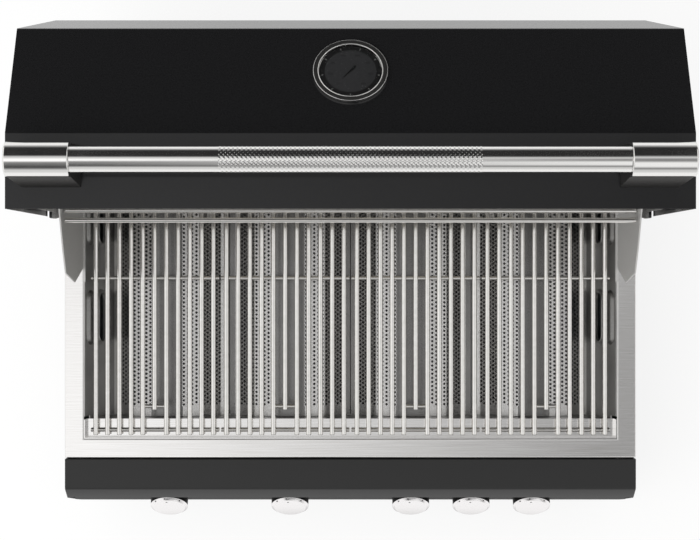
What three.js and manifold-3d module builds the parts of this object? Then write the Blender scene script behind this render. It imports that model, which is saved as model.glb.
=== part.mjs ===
// Built-in gas grill with its hood swung open. Lengths are in millimetres and angles in degrees.
// X runs to the right, Y to the back and Z up. The origin is the middle of the flat underside.
// Heights inside the model are counted from the top of the stainless frame, at bodyHeight.
import * as THREE from 'three';
import { mergeVertices } from 'three/addons/utils/BufferGeometryUtils.js';
import Module from 'manifold-3d';

const wasm = await Module();
wasm.setup();

// Whole body
const frameWidth = 914;
const frameDepth = 600;
const bodyHeight = 250;
const sheet = 1.5;
const seatGap = 0.3;
const overrun = 5;
const weld = 0.00001;

// Stainless top frame
const frameSideStrip = 30;
const frameFrontStrip = 29.5;
const frameBackStrip = 96.5;
const frameOuterLip = 24;
const frameInnerLip = 14;
const frameReturn = 12;

// Ledges that carry the grates
const ledgeDrop = 20;
const ledgeWidth = 31;

// Firebox under the grates
const fireboxSlopeRun = 27;
const fireboxSlopeDepth = 100;
const fireboxDepth = 200;
const ventLength = 79;
const ventHeight = 22;
const ventPitch = 161;
const ventBackInset = 48.5;
const ventLevel = 67;
const embossLevel = 24;
const embossProud = 2.5;
const plateTabWidth = 30;
const plateTabReach = 2.4;

// Outer casing and base
const casingInset = 19.5;
const casingEndInset = 5;
const casingVentWidth = 90;
const casingVentHeight = 9;
const casingVentPitch = 130;
const casingVentRow = 22;
const casingVentCount = 4;
const casingVentLevel = 130;
const baseRim = 10;
const baseVentWidth = 80;
const baseVentDepth = 60;

// Cooking grates
const grateCount = 4;
const grateSideGap = 7.8;
const grateGap = 3.1;
const grateRods = 11;
const rodDiameter = 8;
const rodEndGap = 5.8;
const crossRodDiameter = 6.4;
const crossRodReach = 8.9;
const crossRodMiddle = 251.8;
const crossRodInset = 7.6;
const liftSlotRodCut = 40.6;
const liftSlotCrossCut = 45.6;

// Heat plates over the burners
const plateSideGap = 0.8;
const plateGap = 1.8;
const plateTopDrop = 60;
const plateFlatHalf = 23.5;
const plateGentleRun = 26.5;
const plateGentleFall = 8.6;
const plateSteepFall = 24.5;
const plateLipRun = 13.9;
const plateLipFall = 2.5;
const plateEndGap = 0.6;

// Tube burners
const burnerDrop = 108;
const burnerRadius = 19;
const burnerNeckRadius = 12.7;
const burnerNeckLength = 62;
const burnerConeLength = 30;
const burnerMouthReach = 8;

// Drip tray
const trayHeight = 26;
const traySideGap = 39.5;
const trayWall = 1.2;
const traySideLip = 6;
const trayFrontGap = 3.5;
const trayFrontInset = 12.5;
const trayFrontLip = 16;
const trayFrontCover = 14;
const trayBackInset = 50.3;
const runnerUnderlap = 12.3;
const runnerHeight = 22;
const runnerRise = 13;
const trayOpeningGap = 6;

// Control panel: a visor over a tilted knob face and a lower fascia
const panelGap = 2.5;
const panelBackLip = 14;
const panelCapReach = 24;
const panelLedge = 48;
const visorReach = 17.3;
const visorFall = 26.4;
const visorReturnRun = 24.3;
const visorReturnFall = 20.6;
const knobFaceRun = 36;
const knobFaceFall = 54;
const fasciaRun = 9.8;
const fasciaFall = 70;

// Knobs, stems and valves
const outerKnobInset = 160.75;
const knobPlaceShares = [-1, -1 / 3, 1 / 3, 2 / 3, 1];
const knobFromFaceTop = 35.5;
const knobDiameter = 60.9;
const knobLength = 26;
const knobPanelGap = 4;
const knobEdge = 1.6;
const knobBackBore = 24;
const knobBackDepth = 8;
const pointerWidth = 2.4;
const pointerLength = 7;
const pointerDepth = 0.8;
const stemRadius = 4;
const stemPanelHole = 6.5;
const stemInKnob = 16;
const stemInValve = 6;
const valveBehindPanel = 25;
const valveLength = 34;
const valveWidth = 24;
const valveHeight = 26;
const valveBoreDepth = 12;
const valveNippleRadius = 5.5;
const orificeRadius = 6;
const orificeReach = 8;

// Gas manifold and the tube to the rear burner, fed by the fourth valve
const rearTubeKnob = 3;
const manifoldRadius = 10.5;
const manifoldEndReach = 36;
const manifoldBehind = 18;
const manifoldBelow = 31;
const inletRadius = 15;
const inletLength = 26;
const tubeRadius = 4;
const tubeDrop = 150;
const tubeSideInset = 16;
const tubeFrontRun = 22;
const tubeBehindHousing = 16.4;
const tubeBend = 14;

// Ignition box
const ignitionWidth = 70;
const ignitionDepth = 26;
const ignitionHeight = 34;
const ignitionEndInset = 67;
const ignitionDrop = 60;

// Fixed side plates beside the grates
const sidePlateThickness = 2.2;
const sidePlateFoot = 5.5;
const sidePlateReach = 224.7;
const sidePlateHeelRun = 22.3;
const sidePlateFrontHeight = 86;
const sidePlateShoulderRun = 14.6;
const sidePlateShoulderHeight = 174;
const sidePlateBrowRun = 50.1;
const sidePlateBrowHeight = 200;
const sidePlateTopRun = 109.1;
const sidePlateHeight = 235;
const sidePlateTopEndRun = 159.1;

// Rear housing with the infrared burner
const housingHeight = 198;
const housingTopDepth = 8;
const housingShoulderDepth = 40;
const housingShoulderHeight = 168;
const housingDepth = 62.4;
const housingWaistHeight = 128;
const rearBurnerSideGap = 172;
const rearBurnerHeight = 110;
const rearBurnerDepth = 30;
const rearBurnerBase = 45;
const rearBurnerFlange = 8;

// Warming rack
const rackWireRadius = 3.9;
const rackHeight = 203;
const rackReach = 131.6;
const rackPitch = 14.4;
const rackWires = 8;
const rackSideGap = 2.2;
const rackPegRadius = 3;
const rackPegReach = 10;
const rackBraceInset = 215.1;

// Hood, drawn closed and then swung open about the hinge
const hingeInset = 159.3;
const hingeHeight = 62.7;
const hoodOpenAngle = 90;
const hoodSetback = 2.5;
const hoodGap = 2.8;
const hoodLowerHeight = 100.7;
const hoodSlantLength = 172.7;
const hoodSlantAngle = 60;
const hoodTailInset = 97.75;
const hoodTopRise = 9.8;
const hoodRearLength = 127.9;
const hoodRearFall = 47.6;
const hoodBend = 4;
const hoodCutReach = 110.7;
const hoodCutHeight = 45;
const hoodCutBackInset = 13;
const hoodCutBackRise = 25;
const linerGap = 12;
const linerSheet = 1.2;
const linerHemRise = 6;
const linerRearInset = 192;

// Hinge arms and pins
const armThickness = 4.2;
const armFrontReach = 98.3;
const armBackReach = 57.8;
const armGap = 0.6;
const armHeight = 74;
const armCorner = 5;
const pinRadius = 6;
const pinHeadRadius = 9;
const pinHead = 3;
const pinCollarRadius = 10;

// Handle
const handleStandOff = 55;
const handleHeight = 62.2;
const handleRadius = 17.65;
const handlePlainRun = 193.6;
const knurlRelief = 0.3;
const bracketRadius = 22.85;
const bracketEndInset = 10.5;
const bracketLength = 83.9;
const bracketEndWall = 5;
const bracketLegHalf = 21.9;
const bracketFootDrop = 33.7;
const bracketFootRise = 22;
const bracketFootInnerRun = 6.3;
const bracketFootOuterRun = 10.8;

// Thermometer on the slanted panel
const gaugeAlong = 99;
const gaugeRadius = 50.5;
const gaugeInnerRadius = 42.8;
const gaugeHeight = 5.6;
const gaugeRim = 0.75;
const gaugeSeat = 0.9;
const dialThickness = 0.8;
const dialRadius = 42.3;
const glassThickness = 1.2;
const needleRise = 0.95;
const needleThickness = 0.6;
const needleLength = 17;
const needleTail = 11;
const needleWidth = 3.4;
const needleEnd = 1.2;
const needleAngle = 229;
const spindleRadius = 1;
const probeRadius = 4;
const probeLength = 70;
const probeHex = 9;
const probeHexLength = 8;

// Facets round the curved pieces
const rodSides = 8;
const wireSides = 6;
const tubeSides = 12;
const knobSides = 24;
const gaugeSides = 32;
const barSides = 24;

// Materials
const paint = (color, roughness, metalness) => new THREE.MeshStandardMaterial({ color, roughness, metalness });
const brushedSteel = paint(0xc9c8c5, 0.35, 1);
const polishedSteel = paint(0xe4e2de, 0.1, 1);
const linerSteel = paint(0x8f8e8c, 0.4, 1);
const galvanised = paint(0x9ba0a2, 0.5, 0.9);
const blackEnamel = paint(0x1b1b1c, 0.3, 0.1);
const blackPanel = paint(0x333334, 0.45, 0.1);
const brass = paint(0xb9964c, 0.35, 1);
const ceramicTile = paint(0xd8cdb8, 0.9, 0);
const dialFace = paint(0x2c2c2e, 0.6, 0);
const clearGlass = paint(0xdfe6e8, 0.05, 0);
const blackPlastic = paint(0x151515, 0.5, 0);

// Derived places, all counted from the frame's top and centre
const halfWidth = frameWidth / 2;
const frontY = -frameDepth / 2;
const backY = frameDepth / 2;
const openingHalf = halfWidth - frameSideStrip;
const openingFrontY = frontY + frameFrontStrip;
const openingBackY = backY - frameBackStrip;
const rodLength = openingBackY - openingFrontY - 2 * rodEndGap;
const hingeY = backY - hingeInset;
const hoodCutY = hingeY - hoodCutReach;
const linerRearY = backY - linerRearInset;
const gratePitch = (2 * openingHalf - 2 * grateSideGap) / grateCount;
const crossRodLength = gratePitch - grateGap;
const rodPitch = (crossRodLength - 2 * crossRodReach) / (grateRods - 1);
const fireboxWaist = openingHalf - fireboxSlopeRun;
const platePitch = (2 * fireboxWaist - 2 * plateSideGap) / grateCount;
const plateWidth = platePitch - plateGap;
const plateSteepRun = plateWidth / 2 - plateLipRun - plateFlatHalf - plateGentleRun;
const fireboxFrontY = openingFrontY + ledgeWidth;
const fireboxBackY = openingBackY - ledgeWidth;
const ventCentreY = fireboxBackY - ventBackInset - (ventLength + ventPitch) / 2;
const casingHalf = halfWidth - casingInset;
const trayHalfWidth = casingHalf - traySideGap;
const trayFrontHalfWidth = casingHalf - trayFrontInset;
const casingFrontY = frontY + casingEndInset;
const casingBackY = backY - casingEndInset;
const floorZ = -bodyHeight;
const deg = THREE.MathUtils.degToRad;
const sin = (angle) => Math.sin(deg(angle));
const cos = (angle) => Math.cos(deg(angle));

// Solids: three.js geometries turned into closed manifolds so that they can be cut and joined
function toSolid(geometry) {
  const plain = geometry.clone();
  plain.deleteAttribute('normal');
  plain.deleteAttribute('uv');
  const merged = mergeVertices(plain, weld);
  const index = merged.index.array;
  const triVerts = new Uint32Array(index);
  const vertProperties = new Float32Array(merged.attributes.position.array);
  return new wasm.Manifold(new wasm.Mesh({ numProp: 3, vertProperties, triVerts }));
}

function toMesh(solid, name, material) {
  const source = solid.getMesh();
  const geometry = new THREE.BufferGeometry();
  geometry.setAttribute('position', new THREE.BufferAttribute(new Float32Array(source.vertProperties), 3));
  geometry.setIndex(new THREE.BufferAttribute(new Uint32Array(source.triVerts), 1));
  geometry.computeVertexNormals();
  const mesh = new THREE.Mesh(geometry, material);
  mesh.name = name;
  return mesh;
}

function block(low, high) {
  const size = high.map((value, axis) => value - low[axis]);
  const geometry = new THREE.BoxGeometry(...size);
  geometry.translate(...low.map((value, axis) => value + size[axis] / 2));
  return toSolid(geometry);
}

function outlineShape(points) {
  return new THREE.Shape(points.map(([across, up]) => new THREE.Vector2(across, up)));
}

// A flat outline carried along X: its points are (y, z)
function alongX(points, fromX, toX) {
  const geometry = new THREE.ExtrudeGeometry(outlineShape(points), { depth: toX - fromX, bevelEnabled: false });
  geometry.applyMatrix4(new THREE.Matrix4().makeBasis(
    new THREE.Vector3(0, 1, 0),
    new THREE.Vector3(0, 0, 1),
    new THREE.Vector3(1, 0, 0),
  ));
  geometry.translate(fromX, 0, 0);
  return toSolid(geometry);
}

// A flat outline carried along Y: its points are (x, z)
function alongY(points, fromY, toY) {
  const geometry = new THREE.ExtrudeGeometry(outlineShape(points), { depth: toY - fromY, bevelEnabled: false });
  geometry.applyMatrix4(new THREE.Matrix4().makeRotationX(Math.PI / 2));
  geometry.translate(0, toY, 0);
  return toSolid(geometry);
}

// A round bar from one point to another
function bar(from, to, radius, sides) {
  const start = new THREE.Vector3(...from);
  const run = new THREE.Vector3(...to).sub(start);
  const geometry = new THREE.CylinderGeometry(radius, radius, run.length(), sides);
  geometry.translate(0, run.length() / 2, 0);
  geometry.applyQuaternion(new THREE.Quaternion().setFromUnitVectors(
    new THREE.Vector3(0, 1, 0),
    run.clone().normalize(),
  ));
  geometry.translate(...from);
  return toSolid(geometry);
}

// A profile of (radius, height) points turned about Z
function turned(points, sides) {
  const profile = points.map(([radius, height]) => new THREE.Vector2(radius, height));
  const geometry = new THREE.LatheGeometry(profile, sides);
  geometry.applyMatrix4(new THREE.Matrix4().makeRotationX(Math.PI / 2));
  return toSolid(geometry);
}

function polar(radius, angle) {
  return [radius * cos(angle), radius * sin(angle)];
}

// A round-ended slot, as (y, z) points round its centre
function slotOutline(centre, length, height, arcSteps) {
  const points = [];
  const radius = height / 2;
  for (const [side, start] of [[1, -90], [-1, 90]]) {
    for (let step = 0; step <= arcSteps; step += 1) {
      const [across, up] = polar(radius, start + (180 * step) / arcSteps);
      points.push([centre[0] + side * (length / 2 - radius) + across, centre[1] + up]);
    }
  }
  return points;
}

// Mitred offset of an open outline, to its left for a positive distance
function offsetLine(points, distance) {
  const normals = points.slice(1).map((point, index) => {
    const [dy, dz] = [point[0] - points[index][0], point[1] - points[index][1]];
    const length = Math.hypot(dy, dz);
    return [-dz / length, dy / length];
  });
  return points.map((point, index) => {
    const before = normals[Math.max(index - 1, 0)];
    const after = normals[Math.min(index, normals.length - 1)];
    const sum = [before[0] + after[0], before[1] + after[1]];
    const scale = distance / (1 + before[0] * after[0] + before[1] * after[1]);
    return [point[0] + sum[0] * scale, point[1] + sum[1] * scale];
  });
}

// Bent sheet metal: an open outline given a wall on its left side
function bentSheet(points, wall) {
  return points.concat(offsetLine(points, wall).reverse());
}

const between = (from, to, share) => from.map((value, axis) => value + (to[axis] - value) * share);
const distance = (from, to) => Math.hypot(...from.map((value, axis) => to[axis] - value));

// Rounds the inner corners of an open line, flat or in space, with short arcs
function roundedLine(points, radius, steps) {
  const result = [points[0]];
  for (let index = 1; index < points.length - 1; index += 1) {
    const [before, corner, after] = points.slice(index - 1, index + 2);
    const [back, ahead] = [distance(corner, before), distance(corner, after)];
    const spread = corner.reduce((sum, value, axis) => sum + (before[axis] - value) * (after[axis] - value), 0);
    const half = Math.acos(spread / (back * ahead)) / 2;
    const reach = Math.min(radius / Math.tan(half), back / 2, ahead / 2);
    const first = between(corner, before, reach / back);
    const last = between(corner, after, reach / ahead);
    for (let step = 0; step <= steps; step += 1) {
      const share = step / steps;
      result.push(between(between(first, corner, share), between(corner, last, share), share));
    }
  }
  result.push(points[points.length - 1]);
  return result;
}

// A round tube along a line of points, starting square to X
function sweptTube(points, radius, sides) {
  const path = points.map((point) => new THREE.Vector3(...point));
  const runs = path.slice(1).map((point, index) => point.clone().sub(path[index]).normalize());
  const across = new THREE.Vector3(1, 0, 0);
  const positions = [];
  let previous = runs[0];
  path.forEach((centre, index) => {
    const before = runs[Math.max(index - 1, 0)];
    const after = runs[Math.min(index, runs.length - 1)];
    const tangent = before.clone().add(after).normalize();
    across.applyQuaternion(new THREE.Quaternion().setFromUnitVectors(previous, tangent));
    previous = tangent;
    const other = tangent.clone().cross(across);
    for (let side = 0; side < sides; side += 1) {
      const [u, v] = polar(radius, (360 * side) / sides);
      positions.push(...centre.clone().addScaledVector(across, u).addScaledVector(other, v));
    }
  });
  const triangles = [];
  const lastRing = (path.length - 1) * sides;
  for (let ring = 0; ring < lastRing; ring += sides) {
    for (let side = 0; side < sides; side += 1) {
      const next = (side + 1) % sides;
      triangles.push(ring + side, ring + next, ring + sides + side);
      triangles.push(ring + next, ring + sides + next, ring + sides + side);
    }
  }
  for (let side = 1; side < sides - 1; side += 1) {
    triangles.push(0, side + 1, side);
    triangles.push(lastRing, lastRing + side, lastRing + side + 1);
  }
  const geometry = new THREE.BufferGeometry();
  geometry.setAttribute('position', new THREE.BufferAttribute(new Float32Array(positions), 3));
  geometry.setIndex(triangles);
  return toSolid(geometry);
}

const mirrored = (points) => points.concat(points.map(([across, up]) => [-across, up]).reverse());
const join = (solids) => wasm.Manifold.union(solids);

const grill = new THREE.Group();
grill.position.z = bodyHeight;

function place(solid, name, material, group = grill) {
  const mesh = toMesh(solid, name, material);
  group.add(mesh);
  return mesh;
}

// Knob axis: the tilted face of the control panel leans back from its foot to its top
const faceLength = Math.hypot(knobFaceRun, knobFaceFall);
const knobNormal = [0, -knobFaceFall / faceLength, knobFaceRun / faceLength];
const faceTopY = frontY - panelGap - panelLedge - visorReach + visorReturnRun;
const faceTopZ = -visorFall - visorReturnFall;
const fasciaZ = faceTopZ - knobFaceFall - fasciaFall;
const knobSeat = [
  faceTopY - (knobFromFaceTop * knobFaceRun) / faceLength,
  faceTopZ - (knobFromFaceTop * knobFaceFall) / faceLength,
];
// A point on a knob's axis, so far in front of the panel face
const onAxis = (x, ahead) => [x, knobSeat[0] + ahead * knobNormal[1], knobSeat[1] + ahead * knobNormal[2]];
const valveMiddle = onAxis(0, -valveBehindPanel - valveLength / 2);
const manifoldY = valveMiddle[1] + manifoldBehind;
const manifoldZ = valveMiddle[2] - manifoldBelow;
const knobXs = knobPlaceShares.map((share) => share * (halfWidth - outerKnobInset));
const plateXs = Array.from({ length: grateCount }, (_, index) => (index - (grateCount - 1) / 2) * platePitch);

// Rear burner and the tube that feeds it
const housingFrontY = openingBackY + 2 * seatGap + sheet;
const rearBurnerBackY = housingFrontY + rearBurnerDepth;
const rearBurnerWidth = 2 * (openingHalf - rearBurnerSideGap);
const tubeX = casingHalf - sheet - tubeSideInset;
const tubeBackY = housingFrontY + tubeBehindHousing;

function buildTopFrame() {
  const lip = -frameOuterLip;
  const plate = block([-halfWidth, frontY, -sheet], [halfWidth, backY, 0]);
  const skirt = block([-halfWidth, frontY, lip], [halfWidth, backY, 0])
    .subtract(block([-halfWidth + sheet, frontY + sheet, lip - overrun], [halfWidth - sheet, backY - sheet, overrun]));
  const collar = block(
    [-openingHalf - sheet, openingFrontY, -frameInnerLip],
    [openingHalf + sheet, openingBackY, -sheet / 2],
  );
  const returns = [-halfWidth, halfWidth - frameReturn].map((x) => block(
    [x, frontY + overrun, lip],
    [x + frameReturn, backY - overrun, lip + sheet],
  ));
  const opening = block([-openingHalf, openingFrontY, lip - overrun], [openingHalf, openingBackY, overrun]);
  const tubeHole = bar([tubeX, tubeBackY, lip], [tubeX, tubeBackY, overrun], tubeRadius + sheet, tubeSides);
  place(join([plate, skirt, collar, ...returns]).subtract(opening).subtract(tubeHole), 'top_frame', brushedSteel);
}

function buildLedge(name, wallY, inward) {
  const ys = (near, far) => [wallY + inward * near, wallY + inward * far].sort((a, b) => a - b);
  const half = openingHalf - seatGap;
  const [shelfLow, shelfHigh] = ys(seatGap, ledgeWidth);
  const [wallLow, wallHigh] = ys(seatGap, seatGap + sheet);
  const shelf = block([-half, shelfLow, -ledgeDrop - sheet], [half, shelfHigh, -ledgeDrop]);
  const wall = block([-half, wallLow, -ledgeDrop - sheet], [half, wallHigh, -sheet]);
  const ends = [-1, 1].map((side) => {
    const [low, high] = [side * half, side * (half - sheet)].sort((a, b) => a - b);
    return block([low, shelfLow, -ledgeDrop - sheet], [high, shelfHigh, -sheet]);
  });
  place(join([shelf, wall, ...ends]), name, brushedSteel);
}

function buildFirebox() {
  const topHalf = openingHalf - seatGap;
  const rim = -sheet - seatGap;
  const side = (inset, top, bottom) => mirrored([
    [fireboxWaist - inset, bottom],
    [fireboxWaist - inset, -fireboxSlopeDepth],
    [topHalf - inset, rim],
    [topHalf - inset, top],
  ]);
  const outer = alongY(side(0, rim + seatGap, -fireboxDepth), fireboxFrontY - sheet, fireboxBackY + sheet);
  const inner = alongY(side(sheet, overrun, -fireboxDepth - overrun), fireboxFrontY, fireboxBackY);
  const wallTop = -ledgeDrop - sheet - seatGap;
  const aboveEnds = [fireboxFrontY - sheet, fireboxBackY].map((y) => block(
    [-halfWidth, y - overrun, wallTop],
    [halfWidth, y + sheet + overrun, overrun],
  ));
  const tabY = [[fireboxFrontY - sheet / 2, fireboxFrontY + plateTabReach],
    [fireboxBackY - plateTabReach, fireboxBackY + sheet / 2]];
  const tabTop = -plateTopDrop - plateGentleFall - plateSteepFall - plateLipFall - sheet - seatGap;
  const tabs = [];
  for (let index = 0; index <= grateCount; index += 1) {
    const centre = (index - grateCount / 2) * platePitch;
    const low = Math.max(centre - plateTabWidth / 2, -fireboxWaist + sheet / 2);
    const high = Math.min(centre + plateTabWidth / 2, fireboxWaist - sheet / 2);
    tabY.forEach(([near, far]) => tabs.push(block([low, near, tabTop - sheet], [high, far, tabTop])));
  }
  const emboss = [];
  const cuts = [inner, ...aboveEnds];
  const slopeX = (level) => topHalf - ((topHalf - fireboxWaist) * level) / fireboxSlopeDepth;
  for (const sideSign of [-1, 1]) {
    for (const row of [-1, 1]) {
      const centreY = ventCentreY + (row * ventPitch) / 2;
      const vent = slotOutline([centreY, -ventLevel], ventLength, ventHeight, 4);
      const reach = [sideSign * fireboxWaist, sideSign * halfWidth].sort((a, b) => a - b);
      cuts.push(alongX(vent, reach[0], reach[1]));
      const pill = slotOutline([centreY, -embossLevel], ventLength, ventHeight - sheet, 4);
      const face = slopeX(embossLevel) - sheet;
      const ends = [sideSign * (face + sheet / 2), sideSign * (face - embossProud)].sort((a, b) => a - b);
      emboss.push(alongX(pill, ends[0], ends[1]));
    }
  }
  plateXs.forEach((x) => cuts.push(bar(
    [x, fireboxFrontY - overrun, -burnerDrop],
    [x, fireboxFrontY + overrun, -burnerDrop],
    burnerNeckRadius + seatGap,
    tubeSides,
  )));
  let shell = outer;
  cuts.forEach((cut) => { shell = shell.subtract(cut); });
  place(join([shell, ...tabs, ...emboss]), 'firebox_liner', linerSteel);
}

function buildCasing() {
  const top = -sheet - seatGap;
  const bottom = floorZ + sheet + seatGap;
  const low = [-casingHalf, casingFrontY, bottom];
  const high = [casingHalf, casingBackY, top];
  let casing = block(low, high).subtract(block(
    [low[0] + sheet, low[1] + sheet, bottom - overrun],
    [high[0] - sheet, high[1] - sheet, overrun],
  ));
  const trayZ = floorZ + runnerRise;
  const trayCut = block(
    [-trayHalfWidth - trayOpeningGap, casingFrontY - overrun, trayZ - trayOpeningGap],
    [trayHalfWidth + trayOpeningGap, casingFrontY + sheet + overrun, trayZ + trayHeight + trayOpeningGap],
  );
  casing = casing.subtract(trayCut);
  [...plateXs, knobXs[rearTubeKnob]].forEach((x) => {
    const hole = [x, casingFrontY - overrun, -burnerDrop];
    const end = [x, casingFrontY + sheet + overrun, -burnerDrop];
    casing = casing.subtract(bar(hole, end, burnerNeckRadius + sheet, tubeSides));
  });
  for (let column = 0; column < casingVentCount; column += 1) {
    for (const row of [-1, 1]) {
      const x = (column - (casingVentCount - 1) / 2) * casingVentPitch;
      const z = -casingVentLevel + (row * casingVentRow) / 2;
      casing = casing.subtract(block(
        [x - casingVentWidth / 2, casingBackY - sheet - overrun, z - casingVentHeight / 2],
        [x + casingVentWidth / 2, casingBackY + overrun, z + casingVentHeight / 2],
      ));
    }
  }
  place(casing, 'outer_casing', galvanised);
}

function buildBasePan() {
  const half = casingHalf - sheet - seatGap;
  const rimBox = (inset, low, high) => block(
    [-half + inset, casingFrontY + sheet + seatGap + inset, low],
    [half - inset, casingBackY - sheet - seatGap - inset, high],
  );
  const plate = block([-casingHalf, casingFrontY, floorZ], [casingHalf, casingBackY, floorZ + sheet]);
  const rim = rimBox(0, floorZ, floorZ + baseRim).subtract(rimBox(sheet, floorZ - overrun, floorZ + baseRim + overrun));
  const frontRelief = block(
    [-trayHalfWidth - trayOpeningGap, casingFrontY, floorZ + sheet],
    [trayHalfWidth + trayOpeningGap, casingFrontY + 2 * sheet + 2 * seatGap, floorZ + baseRim + overrun],
  );
  const vents = [-1, 1].map((side) => {
    const x = side * platePitch;
    return block(
      [x - baseVentWidth / 2, ventCentreY - baseVentDepth / 2, floorZ - overrun],
      [x + baseVentWidth / 2, ventCentreY + baseVentDepth / 2, floorZ + baseRim],
    );
  });
  let pan = join([plate, rim]).subtract(frontRelief);
  vents.forEach((vent) => { pan = pan.subtract(vent); });
  place(pan, 'base_pan', galvanised);
}

// Control panel
function panelOutline() {
  const ledgeBack = frontY - panelGap;
  const ledgeFront = ledgeBack - panelLedge;
  const visorY = ledgeFront - visorReach;
  const faceFootY = faceTopY - knobFaceRun;
  const faceFootZ = faceTopZ - knobFaceFall;
  const fasciaY = faceFootY - fasciaRun;
  return {
    front: [[ledgeBack, -panelBackLip], [ledgeBack, 0], [ledgeFront, 0], [visorY, -visorFall],
      [faceTopY, faceTopZ], [faceFootY, faceFootZ], [fasciaY, fasciaZ],
      [casingFrontY - seatGap, fasciaZ]],
    cap: [[ledgeBack, 0], [ledgeFront, 0], [visorY, -visorFall], [fasciaY, fasciaZ],
      [ledgeBack + panelCapReach, fasciaZ], [ledgeBack + panelCapReach, -frameOuterLip - panelGap],
      [ledgeBack, -frameOuterLip - panelGap]],
  };
}

function buildControlPanel() {
  const { front, cap } = panelOutline();
  const half = halfWidth;
  const shell = alongX(bentSheet(front, sheet), -half, half);
  const caps = [-half, half - sheet].map((x) => alongX(cap, x, x + sheet));
  let panel = join([shell, ...caps]);
  knobXs.forEach((x) => {
    panel = panel.subtract(bar(onAxis(x, -overrun), onAxis(x, overrun), stemPanelHole, tubeSides));
  });
  place(panel, 'control_panel', blackPanel);
}

// A group whose local Z is the knob's axis, seated on the panel face
function knobGroup(x) {
  const group = new THREE.Group();
  group.position.set(...onAxis(x, 0));
  group.rotation.x = Math.atan2(knobFaceFall, knobFaceRun);
  grill.add(group);
  return group;
}

function buildKnobSet(x, number) {
  const group = knobGroup(x);
  const radius = knobDiameter / 2;
  const back = knobPanelGap;
  const front = back + knobLength;
  const knob = turned([
    [0, back + knobBackDepth],
    [knobBackBore, back + knobBackDepth],
    [knobBackBore, back],
    [radius - knobEdge, back],
    [radius, back + knobEdge],
    [radius, front - knobEdge],
    [radius - knobEdge, front],
    [0, front],
  ], knobSides);
  const stemTip = back + stemInKnob;
  const bore = bar([0, 0, 0], [0, 0, stemTip + seatGap], stemRadius + seatGap, rodSides);
  const pointerY = radius - 2 * knobEdge;
  const pointer = block(
    [-pointerWidth / 2, pointerY - pointerLength, front - pointerDepth],
    [pointerWidth / 2, pointerY, front + overrun],
  );
  place(knob.subtract(bore).subtract(pointer), `knob_${number}`, blackPlastic, group);
  const stem = bar([0, 0, -valveBehindPanel - stemInValve], [0, 0, stemTip], stemRadius, rodSides);
  place(stem, `valve_stem_${number}`, brass, group);
}

function buildValve(x, number, outletEndY) {
  const middle = onAxis(x, -valveBehindPanel - valveLength / 2);
  const tilt = new THREE.Matrix4().makeRotationX(Math.atan2(knobFaceFall, knobFaceRun));
  const box = new THREE.BoxGeometry(valveWidth, valveHeight, valveLength);
  box.applyMatrix4(tilt);
  box.translate(...middle);
  const toManifold = new THREE.Vector3(0, manifoldY - middle[1], manifoldZ - middle[2]);
  const reach = toManifold.length() - manifoldRadius - seatGap;
  const direction = toManifold.normalize();
  const nippleEnd = [x, middle[1] + direction.y * reach, middle[2] + direction.z * reach];
  const nipple = bar(middle, nippleEnd, valveNippleRadius, tubeSides);
  const outlet = bar([x, middle[1], -burnerDrop], [x, outletEndY, -burnerDrop], orificeRadius, tubeSides);
  const bore = bar(onAxis(x, -valveBehindPanel - valveBoreDepth), onAxis(x, 0), stemRadius + seatGap, rodSides);
  place(join([toSolid(box), nipple, outlet]).subtract(bore), `gas_valve_${number}`, brass);
}

function buildManifold() {
  const fromX = knobXs[0] - manifoldEndReach;
  const toX = knobXs[knobXs.length - 1] + manifoldEndReach;
  const pipe = bar([fromX, manifoldY, manifoldZ], [toX, manifoldY, manifoldZ], manifoldRadius, tubeSides);
  const inlet = bar([toX - overrun, manifoldY, manifoldZ], [toX + inletLength, manifoldY, manifoldZ], inletRadius, wireSides);
  const bore = bar([fromX + sheet, manifoldY, manifoldZ], [toX + inletLength + overrun, manifoldY, manifoldZ],
    manifoldRadius - 2 * sheet, tubeSides);
  place(join([pipe, inlet]).subtract(bore), 'gas_manifold', brass);
}

function buildRearGasTube() {
  const frontX = knobXs[rearTubeKnob];
  const startY = casingFrontY + sheet + orificeReach + seatGap;
  const frontRunY = startY + tubeFrontRun;
  const endZ = rearBurnerBase + rearBurnerHeight / 2;
  const route = [
    [frontX, startY, -burnerDrop],
    [frontX, frontRunY, -burnerDrop],
    [frontX, frontRunY, -tubeDrop],
    [tubeX, frontRunY, -tubeDrop],
    [tubeX, tubeBackY, -tubeDrop],
    [tubeX, tubeBackY, endZ],
    [rearBurnerWidth / 2 + seatGap, tubeBackY, endZ],
  ];
  place(sweptTube(roundedLine(route, tubeBend, 3), tubeRadius, rodSides), 'rear_burner_gas_tube', brushedSteel);
}

function buildIgnitionBox() {
  place(block(
    [-halfWidth + ignitionEndInset - ignitionWidth / 2, casingFrontY - seatGap - ignitionDepth, -ignitionDrop - ignitionHeight],
    [-halfWidth + ignitionEndInset + ignitionWidth / 2, casingFrontY - seatGap, -ignitionDrop],
  ), 'ignition_box', blackPlastic);
}

function buildBurner(x, number) {
  const neckStart = casingFrontY + sheet + seatGap - burnerMouthReach;
  const neckEnd = neckStart + burnerNeckLength + burnerMouthReach;
  const tubeStart = neckEnd + burnerConeLength;
  const tubeEnd = fireboxBackY - seatGap;
  const solid = turned([
    [0, -(tubeEnd - sheet)],
    [burnerRadius - sheet, -(tubeEnd - sheet)],
    [burnerRadius - sheet, -tubeStart],
    [burnerNeckRadius - sheet, -neckEnd],
    [burnerNeckRadius - sheet, -neckStart],
    [burnerNeckRadius, -neckStart],
    [burnerNeckRadius, -neckEnd],
    [burnerRadius, -tubeStart],
    [burnerRadius, -tubeEnd],
    [0, -tubeEnd],
  ].reverse(), tubeSides);
  const geometryTurn = solid.rotate([90, 0, 0]).translate([x, 0, -burnerDrop]);
  place(geometryTurn, `burner_${number}`, linerSteel);
}

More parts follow.
